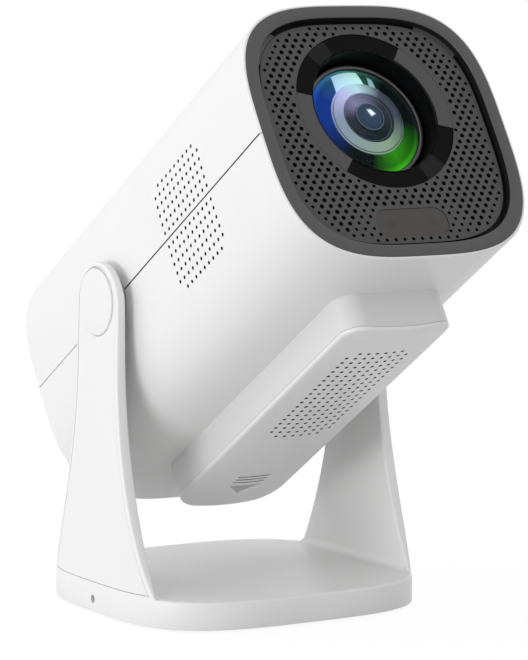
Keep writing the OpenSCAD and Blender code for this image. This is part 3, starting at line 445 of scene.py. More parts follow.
def loft(rings, close_profile=False, close_ring=True, cap_ends=False):
    """Quads between rings of equal length. A ring of one point ends the loft in a pole."""
    verts, starts = [], []
    for r in rings:
        starts.append((len(verts), len(r)))
        verts.extend(r)
    faces = []
    pairs = list(zip(starts, starts[1:]))
    if close_profile:
        pairs.append((starts[-1], starts[0]))
    for (a, na), (b, nb) in pairs:
        n = max(na, nb)
        for i in range(n if close_ring else n - 1):
            j = (i + 1) % n
            if na == 1:
                faces.append((a, b + j, b + i))
            elif nb == 1:
                faces.append((a + i, a + j, b))
            else:
                faces.append((a + i, a + j, b + j, b + i))
    if cap_ends and not close_ring:
        faces.append([s for s, _ in starts])
        faces.append([s + n - 1 for s, n in reversed(starts)])
    return verts, faces


def arc(cx, cy, r, a0, a1, n=10):
    """Points of an arc in degrees."""
    turns = [math.radians(a0 + (a1 - a0) * i / n) for i in range(n + 1)]
    return [(cx + r * math.cos(t), cy + r * math.sin(t)) for t in turns]


def between(p, q, n):
    """Points that divide a straight stretch into n steps, without its ends."""
    return [tuple(s + (e - s) * k / n for s, e in zip(p, q)) for k in range(1, n)]


def around(profile):
    """Sweeps a closed profile of (inset, a) round the body's outline."""
    rings = []
    for inset, a in profile:
        rings.append([(x, -a, z) for x, z in UNIT * (HALF - inset)])
    return loft(rings, close_profile=True)


def revolve(profile, count=160, closed=False):
    """Turns a profile of (radius, a) about the lens axis, in the lens's own frame."""
    rings = []
    for r, a in profile:
        ring = circle(r, count) if r > 1e-6 else [(0, 0)]
        rings.append([(x, -a, z) for x, z in ring])
    return loft(rings, close_profile=closed)


def turn_x(profile, z, count):
    """Turns a profile of (x, radius) about an axis along X at a height z."""
    rings = []
    for x, r in profile:
        ring = circle(r, count) if r > 1e-6 else [(0, 0)]
        rings.append([(x, y, z + up) for y, up in ring])
    return loft(rings)


def drum(y, z, r, x0, x1, count=20):
    """Closed cylinder along X."""
    verts, faces = turn_x([(x0, 0), (x0, r), (x1, r), (x1, 0)], z, count)
    return [(px, y + py, pz) for px, py, pz in verts], faces


def side_drums(z, r, x0, x1, count):
    """The same cylinder along X on both sides."""
    return join(drum(0, z, r, x0, x1, count), drum(0, z, r, -x1, -x0, count))


def join(*parts):
    verts, faces = [], []
    for v, f in parts:
        k = len(verts)
        verts.extend(v)
        faces.extend([[i + k for i in face] for face in f])
    return verts, faces


def mirror_x(part):
    v, f = part
    return [(-x, y, z) for x, y, z in v], [list(face)[::-1] for face in f]


def cut(target, solid, space, operation="DIFFERENCE"):
    """Cuts a closed solid out of a piece, or with UNION adds it, by an exact boolean."""
    tool = build("cutter", *solid, space, [], None)
    mod = target.modifiers.new("cut", "BOOLEAN")
    mod.operation = operation
    mod.solver = "MANIFOLD"
    mod.object = tool
    dg = bpy.context.evaluated_depsgraph_get()
    me = bpy.data.meshes.new_from_object(target.evaluated_get(dg))
    target.modifiers.clear()
    old = target.data
    target.data = me
    bpy.data.meshes.remove(old)
    bpy.data.objects.remove(tool)


def paint(o, space, test):
    """Gives each face the material slot that test returns for its middle and normal, in the piece's frame."""
    m = np.array(space, float)
    inverse = np.linalg.inv(m)
    turn = m[:3, :3] / np.linalg.norm(m[:3, 0])
    for poly in o.data.polygons:
        c = inverse[:3, :3] @ np.array(poly.center) + inverse[:3, 3]
        poly.material_index = test(c[0], -c[1], c[2], turn.T @ np.array(poly.normal))


# Camera, at the place that was fitted to the photograph

CAMERA_AZ = math.radians(-30.8696)
CAMERA_EL = math.radians(6.2969)
PIVOT_ACROSS = -12.771
PIVOT_UP = 14.672
PIVOT_AWAY = 1329.25
FOCAL_PX = 3250.36
PHOTO_H_PX = 660.0
SENSOR = 36.0


def make_camera():
    back = Vector((math.sin(CAMERA_AZ) * math.cos(CAMERA_EL), -math.cos(CAMERA_AZ) * math.cos(CAMERA_EL),
                   math.sin(CAMERA_EL)))
    look = -back
    right = look.cross(Vector((0, 0, 1))).normalized()
    up = right.cross(look)
    eye = Vector((0, 0, PIVOT_H)) - (PIVOT_ACROSS * right + PIVOT_UP * up + PIVOT_AWAY * look)
    data = bpy.data.cameras.new("camera")
    cam = bpy.data.objects.new("camera", data)
    bpy.context.scene.collection.objects.link(cam)
    rows = [(right[k], up[k], back[k], eye[k] * 0.001) for k in range(3)]
    cam.matrix_world = Matrix((*rows, (0, 0, 0, 1)))
    data.sensor_width = SENSOR
    data.lens = FOCAL_PX * SENSOR / PHOTO_H_PX
    data.clip_start = 0.05
    data.clip_end = 50.0
    return cam


bpy.context.scene.camera = make_camera()
bpy.context.scene.view_settings.view_transform = "Standard"


# Light: two soft lamps, a plain white world and a floor that reads as white paper

LAMP_AIM = (0, 0, 0.13)
WORLD_LIGHT = 0.76
FLOOR_GLOW = 1.12
FLOOR_SHARE = 0.8
FLOOR_HALF = 6000
WHITE = (1, 1, 1, 1)


def area(name, where, size, power):
    """Soft rectangular lamp in metres and watts, aimed at the object and hidden from the camera."""
    data = bpy.data.lights.new(name, "AREA")
    data.shape = "RECTANGLE"
    data.size, data.size_y = size
    data.energy = power
    o = bpy.data.objects.new(name, data)
    bpy.context.scene.collection.objects.link(o)
    o.location = where
    o.visible_camera = False
    o.rotation_mode = "QUATERNION"
    o.rotation_quaternion = (Vector(LAMP_AIM) - Vector(where)).to_track_quat("-Z", "Y")


area("left_side", (-1.42, -0.35, 0.12), (0.8, 0.3), 7.9)
area("key_back", (-1.0, 0.75, 0.8), (0.9, 0.9), 3.2)


def make_world():
    """White world that lights the scene a little less than it shows."""
    world = bpy.data.worlds.new("studio")
    world.use_nodes = True
    n = Nodes(world.node_tree)
    out = n.add("ShaderNodeOutputWorld")
    mixed = n.add("ShaderNodeMixShader")
    light = n.add("ShaderNodeBackground", Color=WHITE, Strength=WORLD_LIGHT)
    shown = n.add("ShaderNodeBackground", Color=WHITE, Strength=1.0)
    n.tree.links.new(n.looked_at(), mixed.inputs["Fac"])
    n.link(light, 0, mixed, 1)
    n.link(shown, 0, mixed, 2)
    n.link(mixed, 0, out, "Surface")
    return world


bpy.context.scene.world = make_world()


def floor_material():
    """Pale floor that reads as white paper to the camera and still keeps a soft shadow."""
    g = Graph("pale_floor")
    n = g.noise(30.0, 2.0)
    g.to(g.ramp(n.outputs["Fac"], [(0.3, (0.64, 0.64, 0.64)), (0.7, (0.66, 0.66, 0.66))]), "Base Color")
    g.set(Roughness=0.9, Specular_IOR_Level=0.1)
    glow = g.add("ShaderNodeEmission", Color=WHITE, Strength=FLOOR_GLOW)
    part = g.add("ShaderNodeMixShader", Fac=FLOOR_SHARE)
    g.link(g.bsdf, "BSDF", part, 1)
    g.link(glow, "Emission", part, 2)
    whole = g.add("ShaderNodeMixShader")
    g.tree.links.new(g.looked_at(), whole.inputs["Fac"])
    g.link(g.bsdf, "BSDF", whole, 1)
    g.link(part, "Shader", whole, 2)
    g.link(whole, "Shader", g.out, "Surface")
    return g.mat


floor_corners = [(sx * FLOOR_HALF, sy * FLOOR_HALF, 0) for sx, sy in ((-1, -1), (1, -1), (1, 1), (-1, 1))]
floor = build("floor", floor_corners, [(0, 1, 2, 3)], STAND, floor_material(), None)


# Stand

def base_x(y):
    return BASE_HX * (1 - min(1.0, abs(y / BASE_HY)) ** BASE_N) ** (1 / BASE_N)


def arm_half_width(z):
    if z >= FLARE_TOP:
        return ARM_HALF
    return ARM_HALF + FLARE_R - math.sqrt(FLARE_R ** 2 - (FLARE_TOP - z) ** 2)


def arm_edge(inset, foot, rows=44, head=20):
    """Right-hand edge of the arm's side view from foot to crown as points (y, z), moved inwards."""
    pts = []
    for i in range(rows + 1):
        z = foot + (FLARE_TOP - foot) * i / rows
        slope = (FLARE_TOP - z) / math.sqrt(FLARE_R ** 2 - (FLARE_TOP - z) ** 2)
        k = math.hypot(1, slope)
        dz = 0 if i == 0 else -inset * slope / k
        pts.append((arm_half_width(z) - inset * (k if i == 0 else 1 / k), z + dz))
    r = ARM_HALF - inset
    pts.append((r, (FLARE_TOP + HEAD_Z) / 2))
    for i in range(head + 1):
        a = math.pi / 2 * i / head
        pts.append((max(0.0, r * math.cos(a)), HEAD_Z + r * math.sin(a)))
    return pts


def arm_outer(y, z):
    return base_x(y) - max(0.0, z - BASE_T) * math.tan(LEAN)


def edge_steps(r):
    """Steps of (inset, depth) over a rounded edge, from the face to the side."""
    return [(r * (1 - math.sin(t)), r * (1 - math.cos(t))) for t in quarter(4)] if r else [(0, 0)]


def fill_face(verts, faces, start, count, side_x, cols=14):
    """Fills a face of the arm with rows of quads from edge to edge, and returns its lowest row."""
    half = count // 2
    lowest = previous = None
    for i in range(half):
        ends = start + i, start + count - 1 - i
        ya, yb, z = verts[ends[0]][1], verts[ends[1]][1], verts[ends[0]][2]
        row = [ends[0]]
        for c in range(1, cols):
            y = ya + (yb - ya) * c / cols
            row.append(len(verts))
            verts.append((side_x(y, z), y, z))
        row.append(ends[1])
        if previous:
            faces.extend([previous[p], previous[p + 1], row[p + 1], row[p]] for p in range(cols))
        else:
            lowest = row
        previous = row
    faces.extend([previous[p], previous[p + 1], start + half] for p in range(cols))
    return lowest


def arm_solid(inset, foot, depth_out, depth_in, r_out, r_in, inner=None):
    """Closed plate in the arm's side view, with rounded edges, between two depths below its leaning outer
    face. inner gives a flat inner face at that x instead."""

    def outer_x(depth):
        return lambda y, z: arm_outer(y, z) - depth

    def inner_x(t):
        if inner is None:
            return outer_x(depth_in - t)
        return lambda y, z: inner + t

    def ring(extra, side_x):
        edge = arm_edge(inset + extra, foot)
        return [(side_x(y, z), y, z) for y, z in edge] + [(side_x(-y, z), -y, z) for y, z in edge[-2::-1]]

    rings = [ring(d, outer_x(depth_out + t)) for d, t in edge_steps(r_out)]
    rings += [ring(d, inner_x(t)) for d, t in edge_steps(r_in)[::-1]]
    verts, faces = loft(rings, close_ring=False)
    count = len(rings[0])
    outer_foot = fill_face(verts, faces, 0, count, outer_x(depth_out))
    inner_foot = fill_face(verts, faces, count * (len(rings) - 1), count, inner_x(0))
    last = [r * count + count - 1 for r in range(1, len(rings) - 1)]
    first = [r * count for r in range(len(rings) - 2, 0, -1)]
    faces.append(outer_foot + last + inner_foot[::-1] + first)
    return verts, faces


def base_solid():
    """Rounded-square base, hollow from below, which stands off the table by what its pad stands out."""
    outline = superellipse(BASE_N)

    def at(inset, z, k=1.0):
        return [((BASE_HX - inset) * x * k, (BASE_HY - inset) * y * k, z) for x, y in outline]

    rings = [[(0, 0, BASE_T)]] + [at(BASE_EDGE, BASE_T, k) for k in (0.25, 0.5, 0.75, 0.92)]
    rings += [at(BASE_EDGE - BASE_EDGE * math.sin(a), BASE_T - BASE_EDGE + BASE_EDGE * math.cos(a))
              for a in quarter(6)]
    rings += [at(0, BASE_LIFT + 0.5), at(0.15, BASE_LIFT + 0.15), at(0.5, BASE_LIFT)]
    rings += [at(BASE_WALL - 0.1, BASE_LIFT), at(BASE_WALL, BASE_LIFT + 0.1), at(BASE_WALL, BASE_CEILING)]
    rings += [at(BASE_WALL, BASE_CEILING, k) for k in (0.7, 0.35)] + [[(0, 0, BASE_CEILING)]]
    return loft(rings)


def foot_fillet():
    """Concave fillet between the arm's inner face and the top of the base."""
    r, sink, steps = 3.0, 0.4, 8
    prof = [(ARM_IN + sink, BASE_T - sink), (ARM_IN + sink, BASE_T + r)]
    prof += [(ARM_IN - r + r * math.sin(a), BASE_T + r - r * math.cos(a)) for a in quarter(steps)[::-1]]
    prof += [(ARM_IN - r, BASE_T - sink)]
    rings = []
    for i in range(steps + 1):
        s = -1 + 2 * i / steps
        rings.append([(x, s * (arm_half_width(max(z, BASE_T)) - 0.5) * 0.995, z) for x, z in prof])
    verts, faces = loft(rings)
    n = len(prof)
    faces.append(list(range(n))[::-1])
    faces.append([n * steps + i for i in range(n)])
    return verts, faces


def make_stand():
    o = build("stand_moulding", *base_solid(), STAND, white_stand, "stand", "stand_white", ["stand_yoke"])
    arm = arm_solid(0.0, ARM_FOOT, 0.0, 0.0, ARM_EDGE, ARM_EDGE, inner=ARM_IN)
    recess = arm_solid(RECESS_IN, RECESS_FOOT, -3.0, 1.75, 0.0, 0.0)
    for solid, operation in ((arm, "UNION"), (foot_fillet(), "UNION"), (recess, "DIFFERENCE")):
        for part in (solid, mirror_x(solid)):
            cut(o, part, STAND, operation)
    cut(o, side_drums(GRUB_UP, GRUB_HOLE_R, 55.0, 70.0, 32), STAND)
    cut(o, side_drums(PIVOT_H, BUSH_HOLE_R, 50.0, 62.5, 48), STAND)
    soften(o)


def cap_profile():
    """Cap over the pivot with a rounded rim, as points of (x, radius)."""
    r = 0.7
    prof = [(CAP_IN, 0.0), (CAP_IN, CAP_R)]
    prof += [(CAP_OUT - r + r * math.sin(a), CAP_R - r + r * math.cos(a)) for a in quarter(5)]
    return prof + [(CAP_OUT + 0.03, 8.0), (CAP_OUT, 0.0)]


def make_arm_cover(side, s):
    """Cover panel in the arm's recess and the round cap over the pivot, on one side."""
    part = arm_solid(RECESS_IN + PANEL_GAP, RECESS_FOOT + PANEL_GAP, 0.0, 1.6, 0.25, 0.0)
    if s < 0:
        part = mirror_x(part)
    o = build("arm_panel_" + side, *part, STAND, white_stand, "stand", "stand_white", ["arm_cover_" + side])
    cut(o, drum(0, PIVOT_H, CAP_HOLE_R, s * 55.0, s * 70.0, 96), STAND)
    soften(o)
    disc = turn_x([(s * x, r) for x, r in cap_profile()], PIVOT_H, 96)
    build("pivot_disc_" + side, *disc, STAND, white_stand, "stand", "stand_white", ["pivot_cap_" + side])


make_stand()
make_arm_cover("right", 1)
make_arm_cover("left", -1)


# Body shells

def analytic_normals(o):
    """Gives the outer wall the exact normals of its outline, so that the cut vents leave no shading marks."""
    me = o.data
    inv = np.linalg.inv(np.array(HEAD, float))
    co = np.zeros(len(me.vertices) * 3)
    me.vertices.foreach_get("co", co)
    p = co.reshape(-1, 3) @ inv[:3, :3].T + inv[:3, 3]
    x, a, z = p[:, 0], -p[:, 1], p[:, 2]
    on_wall = (np.abs(reach(x, z) - HALF) < 0.02) & (a > REAR + 0.7) & (a < FRONT - 0.7)
    n = np.stack([np.sign(x) * np.abs(x) ** (BODY_N - 1), np.zeros(len(p)),
                  np.sign(z) * np.abs(z) ** (BODY_N - 1)], 1)
    n /= np.maximum(np.linalg.norm(n, axis=1), 1e-12)[:, None]
    world_n = n @ np.array(HEAD.to_3x3().normalized(), float).T
    loops = np.zeros(len(me.loops), int)
    me.loops.foreach_get("vertex_index", loops)
    custom = np.zeros((len(me.loops), 3))
    for poly in me.polygons:
        idx = list(poly.loop_indices)
        vs = loops[idx]
        if on_wall[vs].all() and (world_n[vs] @ np.array(poly.normal)).min() > 0.9:
            custom[idx] = world_n[vs]
    me.normals_split_custom_set(custom.tolist())


def half_shell(sign):
    """Upper (1) or lower (-1) half of the body's wall, chamfered along the seam."""
    r = BODY_EDGE
    prof = [(r - r * math.cos(a), REAR + r - r * math.sin(a)) for a in quarter(4)]
    prof += [(0.9, REAR), (0.9, REAR + 2.5), (WALL, REAR + 2.5)]
    prof += [(WALL, FRONT - 6.0), (0.9, FRONT - 6.0), (0.9, FRONT)]
    prof += [(r - r * math.sin(a), FRONT - r + r * math.cos(a)) for a in quarter(5)]
    keep = [(x, z) for x, z in UNIT if z * sign > 0.004]
    keep.sort(key=lambda q: math.atan2(q[1] * sign, q[0]))

    def seam_point(h, inset, z, side):
        return side * (h - inset) * (1 - (z / h) ** BODY_N) ** (1 / BODY_N), z * sign

    def outline(d):
        h = HALF - d
        chamfer = SEAM_CHAMFER if d < 0.5 else 0.0
        pts = [seam_point(h, chamfer, SEAM, 1), seam_point(h, 0.0, SEAM_EDGE, 1)]
        pts += [(x * h, z * h) for x, z in keep if abs(z * h) > 0.8]
        return pts + [seam_point(h, 0.0, SEAM_EDGE, -1), seam_point(h, chamfer, SEAM, -1)]

    rings = [[(x, -a, z) for x, z in outline(d)] for d, a in prof]
    return loft(rings, close_profile=True, close_ring=False, cap_ends=True)


def vents(sign):
    """Six rows of vent holes on both sides of one half, the last row two holes shorter."""
    mid, first = FRONT - VENT_BACK, VENT_PITCH * 0.768
    parts = []
    for s in (1, -1):
        for r in range(6):
            short = 1 if r == 5 else 0
            for c in range(short, 11 - short):
                a, z = mid + (c - 5) * VENT_PITCH, sign * (first + r * VENT_PITCH)
                parts.append(drum(-a, z, VENT_R, s * 50.0, s * 57.0))
    return join(*parts)


def shell_side(x, a, z, normal):
    """Slot 1, painted shade: the walls of the vents, the walls of the seam and everything behind them are
    dark.
    """
    r = reach(x, z)
    inside = r < HALF - 1.6 and REAR + 3 < a < FRONT - 3
    in_vent = abs(z) < 24 and abs(x) > 50 and abs(a - FRONT + VENT_BACK) < 22 and r < HALF - 0.1
    seam = abs(z) < SEAM + 0.01 and HALF - WALL < r < HALF - 0.3
    return 1 if (inside or in_vent or seam) else 0


def make_shell(name, node, sign):
    o = build(name, *half_shell(sign), HEAD, [white, inside_painted_shade], "head", "shell_white", [node])
    cut(o, vents(sign), HEAD)
    cut(o, side_drums(0, HUB_HOLE_R, 48.0, 58.0, 64), HEAD)
    paint(o, HEAD, shell_side)
    soften(o)
    analytic_normals(o)


make_shell("shell_top", "upper_shell", 1)
make_shell("shell_bottom", "lower_shell", -1)


# Front frame

def frame_solid():
    """Frame with a rounded lip, the shelf round the grille and three lugs on it."""
    ring = around([(FRAME_OUT, FRAME_BACK), (FRAME_OUT, FRONT - 0.1), (FRAME_OUT + 0.12, FRONT + 0.18),
                   (FRAME_OUT + 0.4, LIP), (FRAME_IN - 0.45, LIP), (FRAME_IN - 0.15, FRONT + 0.18),
                   (FRAME_IN, FRONT - 0.1), (FRAME_IN, SHELF), (SHELF_IN, SHELF), (SHELF_IN, FRAME_BACK)])
    return join(ring, *(lug(t0, t1) for t0, t1 in ((36, 58), (128, 146), (214, 232))))


def lug(t0, t1):
    """Lug between two angles in degrees."""
    pts = [(x, z) for x, z in UNIT if t0 <= math.degrees(math.atan2(z, x)) % 360 <= t1]
    pts.sort(key=lambda q: math.atan2(q[1], q[0]) % (2 * math.pi))
    corners = ((LUG_OUT, LUG_BACK), (LUG_OUT, GRILLE), (LUG_IN, GRILLE), (LUG_IN, LUG_BACK))
    rings = [[(x * h, -a, z * h) for x, z in pts] for h, a in corners]
    return loft(rings, close_profile=True, close_ring=False, cap_ends=True)


def frame_side(x, a, z, normal):
    """Slot 1, painted shade, for the frame's inner wall and the shelf behind it."""
    r, inner = reach(x, z), HALF - FRAME_IN
    return 1 if abs(r - inner) < 0.03 or (r < inner and abs(a - SHELF) < 0.02) else 0


front_ring = build("front_ring", *frame_solid(), HEAD, [graphite, frame_wall_painted_shade], "head", "frame_graphite",
                   ["front_frame"], angle=25)
paint(front_ring, HEAD, frame_side)


# Lens

def by_angle(g, turn, stops):
    """Colours round the lens axis, given in degrees from -180 to 180."""
    return g.ramp(turn, [((deg + 180) / 360, colour) for deg, colour in stops])


def band(g, radius, lo, hi, soft=0.12):
    """1 between two radii, 0 outside them."""
    rise = g.math("MULTIPLY", g.math("SUBTRACT", radius, lo), 1 / soft, clamp=True)
    fall = g.math("MULTIPLY", g.math("SUBTRACT", hi, radius), 1 / soft, clamp=True)
    return g.math("MULTIPLY", rise, fall)


def polygon(g, u, v, points, soft=0.35):
    """1 inside a convex outline in millimetres, 0 outside it."""
    mask = None
    for (x0, y0), (x1, y1) in zip(points, points[1:] + points[:1]):
        length = math.hypot(x1 - x0, y1 - y0)
        nx, ny = (y0 - y1) / length, (x1 - x0) / length
        side = g.math("MULTIPLY_ADD", u, nx / soft, -(nx * x0 + ny * y0) / soft)
        side = g.math("MULTIPLY_ADD", v, ny / soft, side, clamp=True)
        mask = side if mask is None else g.math("MINIMUM", mask, side)
    return mask


def coat_with_painted_glow(g, colour, gain, glow, rough):
    """Lens colour that is also put out as emission, a painted glow in place of light thrown back, so a share
    of it doesn't depend on the lamps.
    """
    n = g.noise(120.0, 2.0)
    g.to(g.mix(1.0, colour, (gain, gain, gain), "MULTIPLY"), "Base Color")
    # painted glow: the colour is put out as emission too
    g.to(colour, "Emission Color")
    g.to(g.math("MULTIPLY_ADD", n.outputs["Fac"], 0.08, rough), "Roughness")
    g.set(Emission_Strength=glow, Specular_IOR_Level=0.04)
    return g.mat


# Hues of the lens's painted reflections. Most are rounded from colours sampled in the photograph at single
# zones of the lens. Blue and green were then changed.
NIGHT = (0.005, 0.01, 0.01)
BLUE = (0.01, 0.06, 0.4)
GREEN = (0.04, 0.4, 0.01)
AQUA = (0.05, 0.2, 0.15)
SLATE = (0.2, 0.25, 0.35)
SAGE = (0.2, 0.3, 0.2)
PALE = (0.4, 0.6, 0.65)
LILAC = (0.4, 0.4, 0.65)

# Outlines of the painted reflections and of the painted highlight on the middle element, as millimetres
# across and up from the lens axis.
PAINTED_SHEEN = [(-10.6, 10.3), (3.3, 9.0), (3.3, 24.0), (-8.2, 24.0)]
PAINTED_SECOND_REFLECTION = [(6.7, 19.3), (5.3, 14.9), (6.4, 12.5), (8.1, 12.7), (8.6, 18.0)]
PAINTED_GLINT = [(-1.9, 2.8), (-1.1, 1.2), (-0.6, -1.1), (2.7, 0.5), (0.7, 3.0)]


def painted_reflections_material():
    """Outer zone of the front lens, painted with reflections: blue on the left, green at the lower right, a
    pale one at the top.
    """
    g = Graph("lens_painted_reflections")
    radius, turn, u, v = lens_coords(g)
    outer = by_angle(g, turn, [(-180, BLUE), (-130, NIGHT), (-100, NIGHT), (-65, GREEN), (-5, NIGHT),
                               (50, NIGHT), (95, AQUA), (150, BLUE), (180, BLUE)])
    inner = g.mix(1.0, outer, (0.45, 0.45, 0.45), "MULTIPLY")
    # from the inner share at a radius of 20.4 mm to the full colour at 21.9 mm
    step = g.math("MULTIPLY_ADD", radius, 0.7, -14.3, clamp=True)
    colour = g.mix(step, inner, outer)
    # the colour of the pale painted reflection changes from 10 mm left of the axis to 3.3 mm right of it
    painted_sheen_colour = g.ramp(g.math("MULTIPLY_ADD", u, 0.06, 0.6), [(0.0, (0.35, 0.5, 0.7)), (0.8, (0.4, 0.7, 0.6))])
    painted_sheen_mask = g.math("MULTIPLY", polygon(g, u, v, PAINTED_SHEEN), band(g, radius, 0.0, 21.9, 0.3))
    colour = g.mix(painted_sheen_mask, colour, painted_sheen_colour)
    # a second, smaller painted reflection at the upper right
    colour = g.mix(polygon(g, u, v, PAINTED_SECOND_REFLECTION), colour, (0.2, 0.35, 0.35))
    return coat_with_painted_glow(g, colour, 1.4, 0.5, 0.2)


def ring_material():
    """Pale ring seen through the lens, painted with reflections: slate on the left, sage below, dark on the
    right, pale at the top and lilac at the upper left; one dark groove, left out at the top.
    """
    g = Graph("lens_inner_ring")
    radius, turn, u, v = lens_coords(g)
    dim, deep, none = shade(SLATE, 0.2), (0.7, 0.7, 0.7), (0, 0, 0)
    hue = by_angle(g, turn, [(-180, SLATE), (-70, SAGE), (0, dim), (50, dim), (95, PALE), (130, LILAC),
                             (180, SLATE)])
    below = by_angle(g, turn, [(-180, deep), (30, deep), (70, none), (120, none), (160, deep), (180, deep)])
    groove = g.math("MULTIPLY", band(g, radius, 14.45, 14.85), below)
    return coat_with_painted_glow(g, g.mix(groove, hue, (0.01, 0.012, 0.014)), 1.2, 0.35, 0.3)


def core_material():
    """Dark stepped cell round the middle element, with a painted lilac reflection at the upper left and two
    pale lines.
    """
    g = Graph("lens_core")
    radius, turn, u, v = lens_coords(g)
    navy = shade(SLATE, 0.1)
    hue = by_angle(g, turn, [(-180, navy), (-70, NIGHT), (40, navy), (125, shade(LILAC, 0.4)), (180, navy)])
    lines = g.math("MAXIMUM", band(g, radius, 9.7, 10.05), band(g, radius, 5.5, 6.1))
    hue = g.mix(g.math("MULTIPLY", lines, 0.6), hue, (0.10, 0.14, 0.18))
    return coat_with_painted_glow(g, hue, 1.2, 0.45, 0.2)


def centre_material():
    """Middle element: dark blue glass with one bright painted highlight."""
    g = Graph("lens_centre")
    radius, turn, u, v = lens_coords(g)
    depth = g.math("MULTIPLY", radius, 0.185)
    hue = g.ramp(depth, [(0.0, (0.025, 0.045, 0.08)), (1.0, (0.02, 0.035, 0.06))])
    painted_glint = polygon(g, u, v, PAINTED_GLINT, 0.9)
    return coat_with_painted_glow(g, g.mix(painted_glint, hue, (0.7, 0.8, 0.85)), 1.2, 0.45, 0.1)


def front_glass_material():
    """Clear domed glass with an anti-reflection coating, so its own reflections are faint."""
    g = Graph("front_glass")
    n = g.noise(30.0, 2.0)
    g.to(g.ramp(n.outputs["Fac"], [(0.3, (0.97, 0.98, 1.0)), (0.7, (0.99, 1.0, 1.0))]), "Base Color")
    g.to(g.math("MULTIPLY_ADD", n.outputs["Fac"], 0.01, 0.01), "Roughness")
    g.set(Transmission_Weight=1.0, IOR=1.06, Specular_IOR_Level=0.5)
    return g.mat


def dome(r):
    """Height of the front glass at a radius."""
    return DOME_MID + math.sqrt(DOME_R ** 2 - r ** 2)


def under(r, drop):
    """Point of a profile that lies so far behind the front glass."""
    return r, dome(r) - drop


def rim_profile():
    """Metal rim with a rounded outer and a chamfered inner edge."""
    r, outer_r = 0.4, 24.7
    prof = [(RIM_R, SEAT), (outer_r, SEAT)]
    prof += [(outer_r - r + r * math.cos(a), LENS_FRONT - r + r * math.sin(a)) for a in quarter(5)]
    return prof + [(RIM_R + 0.5, LENS_FRONT), (RIM_R + 0.2, LENS_FRONT - 0.2), (RIM_R, LENS_FRONT - 0.7)]


def glass_profile():
    """Thin shell of the domed front element."""
    outer = [under(r, 0.0) for r in np.linspace(0, GLASS_R - 0.05, 27)]
    return outer + [under(r, 0.3) for r in np.linspace(GLASS_R - 0.15, 0, 27)]


def zone_profile():
    """Coated zone round the pale ring."""
    r, back = 15.5, SEAT - 3.0
    radii = np.linspace(GLASS_R, 15.6, 20)
    face = [(q, dome(q) - 0.5 - (GLASS_R - q) * 0.06) for q in radii]
    return [(GLASS_R, back), *face, under(r, 2.2), (r, back)]


def pale_ring_profile():
    """Pale ring with a raised lip, a groove inside it and a wall down to the core."""
    back = SEAT - 2.9
    return [(15.45, back), (15.45, dome(15.3) - 1.0), (15.2, dome(15.3) - 0.85), (14.95, dome(15.0) - 1.0),
            under(14.9, 1.35), under(14.6, 1.35), under(14.45, 1.1), under(11.0, 0.95), under(10.85, 1.1),
            under(10.8, 1.9), (10.8, back)]


def core_profile():
    """Stepped cell between the pale ring and the middle element."""
    back = SEAT - 2.8
    return [(10.75, back), (10.75, dome(10.7) - 1.5), under(10.2, 1.55), under(10.1, 1.9), under(9.3, 2.0),
            under(9.2, 1.7), under(8.9, 1.6), under(8.7, 1.9), under(6.2, 2.0), under(6.1, 1.2),
            under(5.8, 0.9), under(5.55, 1.1), under(5.5, 1.4), (5.4, back)]


def centre_profile():
    """Domed middle element."""
    r, rise = 5.4, 1.17
    back, side = dome(r) - 2.6, dome(r) - 1.5
    face = [(q, side + rise * math.sqrt(1 - (q / r) ** 2)) for q in np.linspace(r - 0.05, 0, 14)]
    return [(0.0, back), (r, back), *face]


build("lens_rim", *revolve(rim_profile(), closed=True), LENS, rim_metal, "lens", "ring_metal", ["lens_ring"])
build("front_element", *revolve(glass_profile()), LENS, front_glass_material(), "lens", "coated_glass",
      ["front_lens"], angle=60)
build("coating_zone", *revolve(zone_profile(), 192, True), LENS, painted_reflections_material(), "lens", "coated_glass",
      angle=50)
build("pale_ring", *revolve(pale_ring_profile(), 192, True), LENS, ring_material(), "lens", "cell_cream",
      ["inner_cell"], angle=35)
build("core_steps", *revolve(core_profile(), closed=True), LENS, core_material(), "lens", "cell_cream",
      angle=30)
build("centre_element", *revolve(centre_profile(), 96), LENS, centre_material(), "lens", "coated_glass",
      angle=60)


# Black arcs of the collar

def collar_arc(t0, t1):
    """Flat plate between two angles in degrees."""
    r_in, r_out, back, front, steps = 26.3, 33.25, GRILLE - 0.8, GRILLE - 0.3, 80
    turns = [math.radians(t0 + (t1 - t0) * i / steps) for i in range(steps + 1)]
    rings = []
    for r, a in ((r_in, back), (r_in, front), (r_out, front), (r_out, back)):
        rings.append([(r * math.cos(t), -a, r * math.sin(t)) for t in turns])
    return loft(rings, close_profile=True, close_ring=False, cap_ends=True)


def arc_side(x, a, z, normal):
    """Slot 1 for a painted reflection: one band on each arc is lighter, where the real arc has a facet that
    reflects more light.
    """
    t = math.degrees(math.atan2(z, x)) % 360
    return 1 if 114 < t < 132 or 294.4 < t < 313 else 0


collar_arcs = build("collar_arcs", *join(collar_arc(54.3, 164.7), collar_arc(230.3, 344.7)), LENS,
                    [black_soft, arc_painted_reflection], "head", "gloss_black", ["collar_inlays"])
paint(collar_arcs, LENS, arc_side)


# Housing under the body, with its sliding cover

